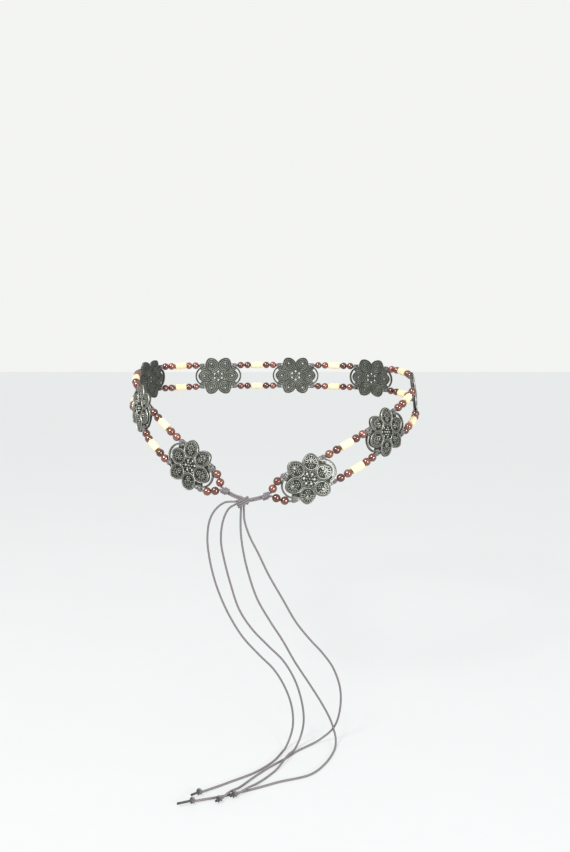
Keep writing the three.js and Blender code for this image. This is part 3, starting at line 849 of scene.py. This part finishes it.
def place_at(at):
    """The place at a distance along the loop from the knot: x along, y up, z off the body."""
    angle = np.interp(at % loop_length, loop_at, loop_angles)
    x = normalised(loop_point(angle + 0.5, plan_scale) - loop_point(angle - 0.5, plan_scale))
    z = off_body(angle, level(angle), plan_scale)
    z = normalised(z - (z @ x) * x)
    return place_matrix(loop_point(angle, plan_scale), x, np.cross(z, x), z)


def shifted(place, x, y, z):
    """A place moved by its own x, y and z."""
    move = np.eye(4)
    move[:3, 3] = x, y, z
    return place @ move


def point_on(place, x, y, z):
    """A point given in a place's own directions."""
    return (place @ np.array([x, y, z, 1.0]))[:3]


flower_count = 2 * FLOWERS_EACH_SIDE + 1
sides_out = range(1, FLOWERS_EACH_SIDE + 1)
flower_names = [f"right_{i}" for i in sides_out] + ["back"] + [f"left_{i}" for i in reversed(sides_out)]
flower_places = [shifted(place_at(first_flower_at + i * pitch), 0, 0, SEAT_GAP - ROUND_BEAD / 2)
                 for i in range(flower_count)]
print("first flower at", flower_places[0][:3, 3].round(1), "of", flower_names)

# %% [markdown]
# ## Strings and beads
# Two strings run from flower to flower. Each is looped twice round the bar at
# a flower's shoulder, and carries two round beads, a tube bead and two more
# round beads. The beads are rigid, so each is a copy of one turned shape put
# on the string's curve, with the string's direction as its own.

# %% Bead shapes
CORD_HOLE = 1.05
BALL_HOLE_EDGE = CORD_HOLE + 0.25
TUBE_HOLE = CORD_HOLE + 0.35
HOLE_BEVEL = 0.3
TUBE_RIM = 0.7
DARKER_END_LENGTH = 1.2
BEAD_SIDES = 32


def round_bead():
    """A ball drilled along x: (-R cos a, R sin a) from hole edge to hole edge, then back
    through the straight hole."""
    radius = ROUND_BEAD / 2
    edge = math.asin(BALL_HOLE_EDGE / radius)
    a = np.linspace(edge, math.pi - edge, 21)
    ball = np.stack([-radius * np.cos(a), radius * np.sin(a)], axis=1)
    depth = radius * math.cos(edge) - HOLE_BEVEL
    return turned(np.vstack([ball, [(depth, CORD_HOLE), (-depth, CORD_HOLE)]]), BEAD_SIDES)


def tube_bead():
    """A slightly bellied tube: radius = end + (middle - end) cos(0.98 pi x / L)^0.8, its rims
    rounded. The relief value is 0 at the rims and in the hole, and 1 from a little way in
    from the ends on; it makes the ends darker and paints shade in the hole."""
    half = TUBE_LENGTH / 2
    x = half * np.sin(np.linspace(-1, 1, 31) * math.pi / 2)
    belly = np.cos(math.pi * x / TUBE_LENGTH * 0.98) ** 0.8
    radius = (TUBE_END + (TUBE_WIDTH - TUBE_END) * belly) / 2
    rim = np.clip((half - np.abs(x)) / TUBE_RIM, 0, 1)
    radius = radius - TUBE_RIM * (1 - np.sqrt(1 - (1 - rim) ** 2))
    hole = [(half - HOLE_BEVEL, TUBE_HOLE), (-half + HOLE_BEVEL, TUBE_HOLE)]
    surface = turned(np.vstack([np.stack([x, radius], axis=1), hole]), BEAD_SIDES)
    x, y, z = surface.points.T
    in_hole = np.hypot(y, z) < TUBE_HOLE + 0.05
    # A value of 0 in the hole paints shade there; towards each end the value falls, so the ends are darker.
    surface.values["relief"] = np.where(in_hole, 0, np.clip((half - np.abs(x)) / DARKER_END_LENGTH, 0, 1))
    return surface


ball, tube = round_bead(), tube_bead()
print("a round bead has", len(ball.quads), "faces, a tube bead", len(tube.quads))

# %% Strings
BEAD_KINDS = ["round", "round", "tube", "round", "round"]
STRAIGHT_SHARES = (-0.36, -0.18, 0, 0.18, 0.36)
TONE_SKEW = 1.3
LOOP_WIDE, LOOP_DEEP, LOOP_CORD, LOOP_STEPS = 1.7, 1.8, 0.86, 28
LOOP_OFF, LOOP_BACK, LOOP_LIFT, LOOP_INSET = 0.88, 0.7, 1.2, 0.2


def shoulder_point(place, side, upper):
    """Where a string leaves a flower, in line with the shoulder's end."""
    share = (SHOULDER_REACH ** 2 + (STRAND_SPACING / 2) ** 2) / RAIL_REACH ** 2
    lift = CORD_RADIUS + DOME_RISE * max(0, 1 - share)
    return point_on(place, side * (SHOULDER_REACH + SEAT_GAP + SLANT_GAP), upper * STRAND_SPACING / 2, lift)


def bead_places(curve, kinds, lean, outward):
    """Places of the beads along a curve: each bead's middle is the sum of what comes before it,
    and the bare cord is shared between the ends by lean."""
    sizes = np.array([TUBE_LENGTH if kind == "tube" else ROUND_BEAD for kind in kinds], float)
    spare = length_of(curve) - sizes.sum() - BEAD_GAP * (len(kinds) - 1)
    middle = spare * lean + np.cumsum(sizes + BEAD_GAP) - BEAD_GAP - sizes / 2
    at = distances(curve)

    def on_curve(distance):
        return np.stack([np.interp(distance, at, curve[:, axis]) for axis in range(3)], axis=1)

    origin = (on_curve(middle - sizes / 2) + on_curve(middle + sizes / 2)) / 2
    x = normalised(on_curve(middle + sizes / 2) - on_curve(middle - sizes / 2))
    y = normalised(np.cross(np.broadcast_to(outward, x.shape), x))
    return [place_matrix(*directions) for directions in zip(origin, x, y, np.cross(x, y))]


def spun(place, turn):
    """A place turned about its own x, so that no two beads show the same side."""
    spin = np.eye(4)
    spin[1:3, 1:3] = [[math.cos(turn), -math.sin(turn)], [math.sin(turn), math.cos(turn)]]
    return place @ spin


def shoulder_loops(place, side, upper):
    """Two turns of cord round the bar at the shoulder's end: each is an oval
    (wide cos t, deep sin t) in the plane along and off the belt."""
    t = np.linspace(0, 2 * math.pi, LOOP_STEPS, endpoint=False)
    loops = []
    for off in (-LOOP_OFF, LOOP_OFF):
        along = side * (SHOULDER_REACH - LOOP_BACK) + LOOP_WIDE * np.cos(t)
        oval = np.stack([along, np.full(LOOP_STEPS, off), LOOP_LIFT + LOOP_DEEP * np.sin(t)], axis=1)
        oval[:, 1] += upper * (STRAND_SPACING / 2 - LOOP_INSET)
        path = oval @ place[:3, :3].T + place[:3, 3]
        loops.append(swept(path, CORD_RADIUS * LOOP_CORD, 8, place[:3, 1], closed=True))
    return loops


def bead_string(label, node, curve, kinds, lean, outward, loops):
    """The string with its loops, and the beads on it."""
    cord_piece(f"string_{label}", [twisted_cord(curve, outward, 10), *loops], node)
    places = [spun(p, chance.uniform(0, 2 * math.pi)) for p in bead_places(curve, kinds, lean, outward)]
    rounds = [p for p, kind in zip(places, kinds) if kind == "round"]
    tubes = [p for p, kind in zip(places, kinds) if kind == "tube"]
    tones = chance.uniform(0, 1, len(rounds)) ** TONE_SKEW
    piece(f"round_beads_{label}", copies(ball, rounds, tone=tones), copper_bead, "beads", node)
    if tubes:
        piece(f"tube_bead_{label}", copies(tube, tubes), bone_tube, "beads", node)


strand_names = [name for name in flower_names if name != "back"]
for i, strand_name in enumerate(strand_names):
    middle = first_flower_at + (i + 0.5) * pitch
    outward = place_at(middle)[:3, 2]
    here, there = flower_places[i:i + 2]
    for height, upper in (("upper", 1), ("lower", -1)):
        straight = [point_on(place_at(middle + share * chain), 0, upper * STRAND_SPACING / 2, 0)
                    for share in STRAIGHT_SHARES]
        start, stop = shoulder_point(here, 1, upper), shoulder_point(there, -1, upper)
        curve = smooth_path([start, *straight, stop], TURN_STEP)
        loops = shoulder_loops(here, 1, upper) + shoulder_loops(there, -1, upper)
        label = f"{strand_name}_{height}"
        bead_string(label, f"strand_{label}", curve, BEAD_KINDS, 0.5, outward, loops)
print("strings between flowers:", 2 * len(strand_names))

# %% End strings, wrapped knots and double cords
WRAP_TURNS, WRAP_LENGTH, WRAP_RADIUS, WRAP_LEAN, WRAP_DIVE = 3.4, 6.0, 2.62, 0.5, 0.09
CORE_INNER, CORE_OUTER = (END_KNOT_LENGTH / 2 + 0.6, 0.85), (END_KNOT_LENGTH / 2 + 1.8, 1.6)
DOUBLE_CORD_OFF, DOUBLE_CORD_SAG = 0.95, 0.15
TUCK_IN_TIE, TUCK_PINCH, TUCK_DEPTH, TUCK_AT_KNOT = 2.5, 0.9, 0.2, 0.2


def end_knot():
    """A wrap: a helix of leaning turns, whose ends dive into the core over the first and last
    share of it, round two cords that run through and spread towards the beads."""
    t = np.linspace(0, 1, 150)
    dive = np.clip(np.minimum(t, 1 - t) / WRAP_DIVE, 0, 1)
    radius = WRAP_RADIUS * np.sin(dive * math.pi / 2)
    turn = 2 * math.pi * WRAP_TURNS * t
    c, s = np.cos(turn), np.sin(turn)
    wrap = np.stack([WRAP_LENGTH * (t - 0.5) + WRAP_LEAN * c, radius * c, radius * s], axis=1)
    parts = [twisted_cord(wrap, np.stack([0 * t, c, s], axis=1))]
    for y in (-1, 1):
        start, stop = (-CORE_INNER[0], CORE_INNER[1] * y, 0), (CORE_OUTER[0], CORE_OUTER[1] * y, 0)
        parts.append(twisted_cord(np.linspace(start, stop, 20), UP))
    return joined(parts)


for label, side in (("right", 1), ("left", -1)):
    flower_place = flower_places[0] if side > 0 else flower_places[-1]
    end_place = place_at(side * end_knot_at)
    facing = end_place if side > 0 else end_place @ np.diag([-1.0, -1.0, 1.0, 1.0])
    cord_piece(f"wrapped_knot_{label}", [placed(end_knot(), facing)], f"end_knot_{label}")
    for height, upper in (("upper", 1), ("lower", -1)):
        off = END_KNOT_LENGTH / 2 + SEAT_GAP + 2 * SLANT_GAP
        near = point_on(end_place, side * off, upper * END_KNOT_SPREAD / 2, 0)
        beads = []
        for i, spread in enumerate(END_BEAD_SPREADS):
            along = (i + 0.5) / END_BEADS * (end_chain - END_TUCK)
            at = side * (end_knot_at + END_KNOT_LENGTH / 2 + SEAT_GAP + along)
            beads.append(point_on(place_at(at), 0, upper * spread * STRAND_SPACING / 2, 0))
        curve = smooth_path([near, *beads, shoulder_point(flower_place, -side, upper)], TURN_STEP)
        bead_string(f"end_{label}_{height}", f"end_string_{label}_{height}", curve, ["round"] * END_BEADS,
                    END_LEAN, end_place[:3, 2], shoulder_loops(flower_place, -side, upper))
    cords = []
    for off in (DOUBLE_CORD_OFF, -DOUBLE_CORD_OFF):
        tie_place = place_at(side * (knot_to_tie - TUCK_IN_TIE))
        start = point_on(tie_place, 0, off * TUCK_PINCH, -TUCK_DEPTH)
        stop = point_on(end_place, -side * (END_KNOT_LENGTH / 2 + TUCK_AT_KNOT), off, 0)
        middle = (start + stop) / 2 - DOUBLE_CORD_SAG * UP
        cords.append(twisted_cord(smooth_path([start, middle, stop], TURN_STEP), end_place[:3, 2]))
    cord_piece(f"double_cord_{label}", cords, f"tie_{label}")
print("end strings: 4, wrapped knots: 2, double cords: 2")

# %% [markdown]
# ## The cast flower
# The real flower was first built from wire and small balls of metal, and then
# moulded and cast. It is rebuilt the same way: a pierced plate, wires laid on
# it as rims, bars and rings, and granules set in rosettes. One flower is made
# flat, with a relief value from 0 in its recesses to 1 on its crests, then
# domed, and copied to its nine places.

# %% The pierced plate
PETALS = 6
HALF_PETAL = math.pi / PETALS
petal_angles = np.radians(np.arange(PETALS) * 360 / PETALS)
petal_centre = PETAL_REACH - PETAL_RADIUS
rail_radius = RAIL_REACH - petal_centre
PLATE_TOP = 1.3
BACK_RING_STEP = 2.1
CELL = 0.5
DISC_INSET = 5
STEEP_LEAST, PULL_MOST, SLOPE_STEP = 0.3, 0.35, 0.02
SHOULDER_TOP = STRAND_SPACING / 2 + 2.2
SHOULDER_INNER, SHOULDER_FOOT = 12, 7
SHOULDER_SLOTS = [(3.4, 1.35, 10.7, 13.9), (6, 4.5, 12.3, 13.9)]
EYELET_PLACE = petal_centre + 1.5
EYELET_LENGTH, EYELET_WIDTH = 2.5, 1.3
RING_HOLE_PLACE = 5.0
RING_HOLE = 1.15
CRESCENT_ANGLE = math.radians(52)
CRESCENT_GAP = 0.15


def petal_edge(angle):
    """Reach of a petal's outline from its middle: its radius, less 0.8 |sin|^1.3 (1 + cos) of
    the angle from the tip, so that it is wide at its root and comes to a soft point."""
    return PETAL_RADIUS - 0.8 * np.abs(np.sin(angle)) ** 1.3 * (1 + np.cos(angle))


def box_inside(x, y, low_x, high_x, low_y, high_y):
    """Distance inside a box: the least distance to its four sides."""
    return np.minimum(np.minimum(x - low_x, high_x - x), np.minimum(y - low_y, high_y - y))


def eyelet_inside(u, v):
    """Distance inside the almond opening of a petal: two arcs that meet on its long axis."""
    bulge = (EYELET_LENGTH ** 2 / EYELET_WIDTH - EYELET_WIDTH) / 4
    return EYELET_WIDTH / 2 + bulge - np.hypot(u - EYELET_PLACE, np.abs(v) + bulge)


def petal_inside(x, y):
    """Distance inside the nearest petal's outline."""
    nearest = []
    for angle in petal_angles:
        u = x * math.cos(angle) + y * math.sin(angle) - petal_centre
        v = y * math.cos(angle) - x * math.sin(angle)
        nearest.append(petal_edge(np.arctan2(v, u)) - np.hypot(u, v))
    return np.max(nearest, axis=0)


def metal_inside(x, y):
    """Distance inside the metal: the greatest over petals, end rails, shoulders and a middle
    disc, then the least of that and the distances outside every opening. Both ends and both
    edges are alike, so rails, shoulders and their openings read |x| and |y|."""
    ax, ay = np.abs(x), np.abs(y)
    from_petal = np.hypot(ax - petal_centre, ay)
    solid = np.max([
        rail_radius - from_petal,
        petal_centre - DISC_INSET - np.hypot(x, y),
        box_inside(ax, ay, SHOULDER_INNER, SHOULDER_REACH, SHOULDER_FOOT, SHOULDER_TOP),
        petal_inside(x, y),
    ], axis=0)
    openings = []
    for angle in petal_angles:
        u = x * math.cos(angle) + y * math.sin(angle)
        v = y * math.cos(angle) - x * math.sin(angle)
        openings.append(eyelet_inside(u, v))
        hole_x = RING_HOLE_PLACE * math.cos(angle + HALF_PETAL)
        hole_y = RING_HOLE_PLACE * math.sin(angle + HALF_PETAL)
        openings.append(RING_HOLE - np.hypot(x - hole_x, y - hole_y))
    round_rail = np.abs(np.arctan2(ay, ax - petal_centre))
    off_petal = from_petal - petal_edge(round_rail) - CRESCENT_GAP
    crescent = np.minimum(off_petal, rail_radius - RAIL_WIDTH - from_petal)
    openings.append(np.minimum(crescent, (CRESCENT_ANGLE - round_rail) * rail_radius))
    for inner, outer, low, high in SHOULDER_SLOTS:
        openings.append(box_inside(ax, ay, SHOULDER_REACH - inner, SHOULDER_REACH - outer, low, high))
    return np.minimum(solid, -np.max(openings, axis=0))


def pierced_plate():
    """Keeps the cells of a square grid whose middles lie in metal, pulls the rim's points onto
    the outline along the slope of the distance, and joins a top sheet, a bottom sheet and
    the walls between them."""
    half_x, half_y = RAIL_REACH + 1, PETAL_REACH + 1
    xs = np.arange(-half_x, half_x + CELL, CELL)
    ys = np.arange(-half_y, half_y + CELL, CELL)
    keep = metal_inside((xs[:-1] + CELL / 2)[:, None], (ys[:-1] + CELL / 2)[None, :]) > 0
    for _ in range(2):
        meet = keep[:-1, :-1] & keep[1:, 1:] & ~keep[1:, :-1] & ~keep[:-1, 1:]
        cross = ~keep[:-1, :-1] & ~keep[1:, 1:] & keep[1:, :-1] & keep[:-1, 1:]
        keep[1:, :-1] |= meet
        keep[:-1, :-1] |= cross
    x, y = (a.ravel() for a in np.meshgrid(xs, ys, indexing="ij"))
    i, j = np.nonzero(keep)
    corner = i * len(ys) + j
    cells = np.stack([corner, corner + len(ys), corner + len(ys) + 1, corner + 1], axis=1)
    touching = np.bincount(cells.ravel(), minlength=len(x))
    rim = (touching > 0) & (touching < 4)
    px, py = x[rim], y[rim]
    h = SLOPE_STEP
    for _ in range(3):
        slope_x = (metal_inside(px + h, py) - metal_inside(px - h, py)) / (2 * h)
        slope_y = (metal_inside(px, py + h) - metal_inside(px, py - h)) / (2 * h)
        steepness = np.maximum(slope_x ** 2 + slope_y ** 2, STEEP_LEAST)
        step = np.clip(metal_inside(px, py) / steepness, -PULL_MOST, PULL_MOST)
        px, py = px - step * slope_x, py - step * slope_y
    x[rim], y[rim] = px, py
    top = np.stack([x, y, np.full_like(x, PLATE_TOP)], axis=1)
    bottom = top * (1, 1, 0)
    edges = np.stack([cells, np.roll(cells, -1, axis=1)], axis=-1).reshape(-1, 2)
    key = edges[:, 0] * len(x) + edges[:, 1]
    back = edges[:, 1] * len(x) + edges[:, 0]
    lone = edges[~np.isin(key, back)]
    walls = np.stack([lone[:, 1], lone[:, 0], lone[:, 0] + len(x), lone[:, 1] + len(x)], axis=1)
    quads = np.concatenate([cells, cells[:, ::-1] + len(x), walls])
    used, quads = np.unique(quads, return_inverse=True)
    points = np.vstack([top, bottom])[used]
    quads = quads.reshape(-1, 4)
    return Surface(points, quads, points[quads][..., :2])


plate = pierced_plate()
print("plate:", len(plate.quads), "faces")

# %% [markdown]
# A wire is a low oval section along a line in the plate's plane, sunk into
# the plate and standing above it. A granule is a few rings of a dome.

# %% Wires and granules
SUNK = 0.35
ARC_STEP = 0.6
GRANULE_SIDES = 8
MIDDLE_PROUD = 0.15


def wire(points, width, crest, closed=False, sides=6):
    """A sweep along flat points whose section is width wide and reaches up to crest."""
    low = PLATE_TOP - SUNK
    path = np.column_stack([points, np.full(len(points), (crest + low) / 2)])
    return swept(path, width / 2, sides, UP, closed=closed, flat=(crest - low) / width)


def circle(centre, radius, a):
    """Points of a circle at the angles a."""
    return np.stack([centre[0] + radius * np.cos(a), centre[1] + radius * np.sin(a)], axis=1)


def bar(start, stop, width, crest):
    """A straight wire."""
    return wire(np.linspace(start, stop, 3), width, crest)


def spoke(angle, inner, outer, width, crest):
    """A bar that points away from the petal's middle."""
    start, stop = [circle((petal_centre, 0), reach, np.array([angle]))[0] for reach in (inner, outer)]
    return bar(start, stop, width, crest)


def arc(radius, half_angle, width, crest, sides=6):
    """A wire round the petal's middle, as far as an angle in degrees to either side."""
    count = round(math.radians(2 * half_angle) * radius / ARC_STEP) + 1
    a = np.radians(np.linspace(-half_angle, half_angle, count))
    return wire(circle((petal_centre, 0), radius, a), width, crest, sides=sides)


def granules(centres, radius, crest):
    """Domes: rings at polar angles 75, 45 and 18 degrees and a top point, over a short foot."""
    polar = np.radians([75, 45, 18])
    a = np.linspace(0, 2 * math.pi, GRANULE_SIDES, endpoint=False)
    r = radius * np.concatenate([[1.0], np.sin(polar)])[:, None]
    z = np.concatenate([[-radius], radius * np.cos(polar)])[:, None]
    rings = np.stack([r * np.cos(a), r * np.sin(a), z + 0 * a], axis=-1).reshape(-1, 3)
    quads = grid_faces(len(r), GRANULE_SIDES)[0][:, ::-1]
    here = np.arange(GRANULE_SIDES)
    after = (here + 1) % GRANULE_SIDES
    last = len(rings) - GRANULE_SIDES
    top = np.stack([np.full_like(here, len(rings)), last + here, last + after], axis=1)
    foot = np.stack([np.full_like(here, len(rings) + 1), after, here], axis=1)
    points = np.vstack([rings, [(0, 0, radius), (0, 0, -radius)]])
    triangles = np.concatenate([top, foot])
    dome = Surface(points, quads, np.zeros((len(quads), 4, 2)), triangles, np.zeros((len(triangles), 3, 2)))
    places = np.tile(np.eye(4), (len(centres), 1, 1))
    places[:, :2, 3] = centres
    places[:, 2, 3] = crest - radius
    return copies(dome, places)


def rosette(centre, middle, ring, other, crest):
    """One granule with six others in a ring round it."""
    around = circle(centre, ring, np.radians(np.arange(6) * 60 + 30))
    return [granules([centre], middle, crest + MIDDLE_PROUD), granules(around, other, crest)]


print("a granule has", len(granules([(0, 0)], 1, 1).quads), "faces and two caps")

# %% [markdown]
# A petal holds a double rim, a third line round its outer half with bars
# between them like a ladder, an almond wire round its opening, and a rosette
# of granules on the side of the flower's middle.

# %% Petal, rails and shoulders
RIM_INSET, LINE_INSET, LADDER_INSET = 0.68, 2.0, 4.9
SHOULDER_LINE = [(12.9, 12.0), (15.4, 11.6), (18, 10.9), (20.9, 10.1)]
SHOULDER_BARS = (14.2, 15.6, 17.9)
SHOULDER_GRANULES = [(16.8, 12.1), (20.0, 9.0), (18.6, 9.9)]


def petal_line(inset, width, crest, half_angle=180, step=0.75, sides=6):
    """A wire that keeps the same distance inside the petal's edge, round or part of it."""
    closed = half_angle == 180
    count = round(math.radians(2 * half_angle) * (PETAL_RADIUS - inset) / step)
    a = np.radians(np.linspace(-half_angle, half_angle, count, endpoint=not closed))
    line = circle((petal_centre, 0), petal_edge(a) - inset, a)
    return wire(line, width, crest, closed=closed, sides=sides)


def petal():
    """All the wires and granules of the petal that points along x, with the bar at its root
    and the granule between it and the next petal."""
    parts = [
        petal_line(RIM_INSET, width=1.25, crest=2.8, step=0.62, sides=8),
        petal_line(LINE_INSET, width=0.75, crest=2.5),
        petal_line(LADDER_INSET, width=0.85, crest=2.6, half_angle=100),
    ]
    for a in np.radians(np.arange(-96, 97, 24)):
        edge = petal_edge(a)
        rung = (edge - LADDER_INSET + 0.2, edge - LINE_INSET - 0.1)
        parts.append(spoke(a, *rung, width=0.85, crest=2.4))
    t = np.linspace(0, 2 * math.pi, 18, endpoint=False)
    half_length, half_width = EYELET_LENGTH / 2 + 0.3, EYELET_WIDTH / 2 + 0.35
    almond = np.stack([EYELET_PLACE + half_length * np.cos(t), half_width * np.sin(t)], axis=1)
    parts.append(wire(almond, width=0.7, crest=2.4, closed=True))
    parts += rosette((12.5, 0), middle=0.85, ring=1.95, other=0.8, crest=2.75)
    parts.append(granules([(15.2, 2.5), (15.2, -2.5)], radius=0.68, crest=2.5))
    parts.append(bar((4.6, 0), (7.4, 0), width=0.9, crest=2.3))
    parts.append(granules(circle((0, 0), 7.5, np.array([HALF_PETAL])), radius=0.85, crest=2.6))
    return joined(parts)


def end_fittings():
    """The double rail beyond the petal on the +x end, with a ladder of bars between its ends
    and the shoulders, and the frames of the two shoulders, each mirrored in y."""
    parts = [
        arc(rail_radius - 0.5, half_angle=96, width=0.95, crest=2.5, sides=8),
        arc(rail_radius - 1.35, half_angle=80, width=0.6, crest=2.15),
    ]
    top, reach = SHOULDER_TOP - 0.5, SHOULDER_REACH - 0.5
    frame_line = [(x, top) for x in (13.6, 17, 20.7)] + [(reach, y) for y in (top - 0.6, 12, 9.9)]
    for side in (1, -1):
        mirror = np.array([1, side])
        parts.append(wire(frame_line * mirror, width=0.95, crest=2.4, sides=8))
        parts.append(wire(SHOULDER_LINE * mirror, width=0.7, crest=2.3))
        parts.append(granules(SHOULDER_GRANULES * mirror, radius=0.5, crest=2.2))
        for x in SHOULDER_BARS:
            parts.append(bar((x, 11.5 * side), (x, top * side), width=0.75, crest=2.2))
        for a in np.radians([57, 66, 75]) * side:
            parts.append(spoke(a, PETAL_RADIUS + 0.2, rail_radius - 1.6, width=0.7, crest=2.25))
    return joined(parts)


def turned_about_z(angles):
    """Places turned about z by each angle."""
    places = np.tile(np.eye(4), (len(angles), 1, 1))
    c, s = np.cos(angles), np.sin(angles)
    places[:, 0, 0], places[:, 0, 1], places[:, 1, 0], places[:, 1, 1] = c, -s, s, c
    return places


RING_LEVEL, RING_SWING = 0.3, 0.25
BACK_RELIEF = 0.45
RELIEF_HEIGHT = 0.8


def flower():
    """Plate, petals, end fittings and the middle rosette, domed: z grows by
    rise (1 - (distance / reach)^2). The back carries faint rings that follow the petals:
    its relief is level + swing cos of the distance inside a petal over the ring step."""
    whole = joined([
        plate, copies(petal(), turned_about_z(petal_angles)),
        copies(end_fittings(), turned_about_z(np.array([0, math.pi]))),
        *rosette((0, 0), middle=1.1, ring=2.75, other=1.05, crest=3.2),
    ])
    x, y, z = whole.points.T
    rings = RING_LEVEL + RING_SWING * np.cos(2 * math.pi * petal_inside(x, y) / BACK_RING_STEP)
    back = z < 0.1
    whole.values["relief"] = np.where(back, rings, np.clip((z - PLATE_TOP) / RELIEF_HEIGHT, 0, 1))
    z = z + np.where(back, BACK_RELIEF - rings, 0) * RELIEF_HEIGHT
    whole.points[:, 2] = z + DOME_RISE * np.clip(1 - (x ** 2 + y ** 2) / RAIL_REACH ** 2, 0, None)
    return whole


flower_surface = flower()
for name, place in zip(flower_names, flower_places):
    surface = placed(flower_surface, place)
    piece(f"filigree_flower_{name}", surface, cast_metal, "cast_metal", f"medallion_{name}")
triangles = 2 * len(flower_surface.quads) + len(flower_surface.triangles)
print("a flower has", triangles, "triangles; all flowers", flower_count * triangles)

# %% [markdown]
# ## The front knot
# The two double cords are tied over each other. Three turns lie side by side
# across the front, slanting up to the right; behind them two turns slant
# down a little, and a small bight stands out on each side. Each row below is
# one turn: its slant, half its length and depth, how far it lies to the side
# of its own line, and the place of its middle.

# %% Front knot
KNOT_TURNS = [
    (46, 6.0, 2.6, -2.0, (-0.9, -0.6)),
    (46, 6.0, 2.6, 0.0, (-0.9, -0.6)),
    (46, 6.0, 2.6, 2.0, (-0.9, -0.6)),
    (-16, 4.8, 1.5, -0.9, (-1.0, 1.2)),
    (-16, 4.8, 1.5, 1.1, (-1.0, 1.2)),
    (14, 3.3, 1.5, 0.0, (4.0, 3.3)),
    (80, 2.9, 1.5, 0.0, (-4.4, -1.4)),
]
TURN_FLATNESS = 0.75
TURN_TIGHTNESS = 0.98
LEADS_PART_AT, LEADS_APART = -32, 1.5
BEND_SHARES, BEND_LIFT = (0.55, 0.45), 0.8


def bound_turn(slant, half_length, half_depth, off, middle):
    """One closed turn of cord seen edge on: half_length cos t along the slant and
    half_depth sin t in depth, both to a power under 1 so that its face is flat."""
    t = np.linspace(0, 2 * math.pi, 64, endpoint=False)
    c, s = np.cos(t), np.sin(t)
    along = half_length * np.sign(c) * np.abs(c) ** TURN_FLATNESS
    depth = half_depth * np.sign(s) * np.abs(s) ** TURN_FLATNESS
    a = math.radians(slant)
    x = along * math.cos(a) - off * math.sin(a) + middle[0]
    y = along * math.sin(a) + off * math.cos(a) + middle[1]
    path = np.stack([x, y, depth], axis=1)
    return swept(path, CORD_RADIUS * TURN_TIGHTNESS, 12, (-math.sin(a), math.cos(a), 0.0), closed=True)


def lead(start, middle):
    """A cord from where a hanging end begins to the knot's middle, bent a little upwards."""
    bend = start * BEND_SHARES[0] + middle * BEND_SHARES[1] + BEND_LIFT * UP
    path = smooth_path([start, bend, middle], TURN_STEP)
    return twisted_cord(path, off_surface(path))


knot_lift = TIE_KNOT_THICKNESS / 2 - ROUND_BEAD / 2 + SEAT_GAP
knot_place = shifted(place_at(0), 0, -TIE_KNOT_SAG, knot_lift)
knot_middle = knot_place[:3, 3]
knot_parts = [placed(bound_turn(*row), knot_place) for row in KNOT_TURNS]
for path in tail_paths.values():
    side = np.sign(path[0, 0] - LEADS_PART_AT)
    knot_parts.append(lead(path[0], knot_middle + (side * LEADS_APART, 0, 0)))
cord_piece("front_knot", knot_parts, "tie_knot")

# %% [markdown]
# ## The floor
# A plain pale surface lies at the level of the table, wide enough to meet
# the sky far behind the belt.

# %% Floor
FLOOR_FAR, FLOOR_NEAR = 12.0, 3.0
BELOW_CORDS = 0.0002
FLOOR_DIM = (0.165, 0.169, 0.17)
FLOOR_PALE = (0.195, 0.199, 0.2)


def make_floor():
    """One large face of a pale, faintly clouded and slightly luminous material."""
    material, tree, shader = new_material(
        "pale_floor", Roughness=0.75, Specular_IOR_Level=0.1,
        Emission_Color=(0.97, 0.99, 1.0), Emission_Strength=0.63)
    cloud = use_group(tree, grain, Place=object_place(tree), Size=18.0, Coarseness=6.0, Contrast=0.35)
    colour = mix_colours(tree, cloud, FLOOR_DIM, FLOOR_PALE)
    link(tree, colour, shader.inputs["Base Color"])
    z = FLOOR_LEVEL * MM - BELOW_CORDS
    corners = [(-FLOOR_FAR, -FLOOR_NEAR, z), (FLOOR_FAR, -FLOOR_NEAR, z),
               (FLOOR_FAR, FLOOR_FAR, z), (-FLOOR_FAR, FLOOR_FAR, z)]
    mesh = bpy.data.meshes.new("floor")
    mesh.from_pydata(corners, [], [(0, 1, 2, 3)])
    mesh.materials.append(material)
    floor = bpy.data.objects.new("floor", mesh)
    bpy.context.scene.collection.objects.link(floor)


make_floor()
print("floor at", FLOOR_LEVEL, "mm")
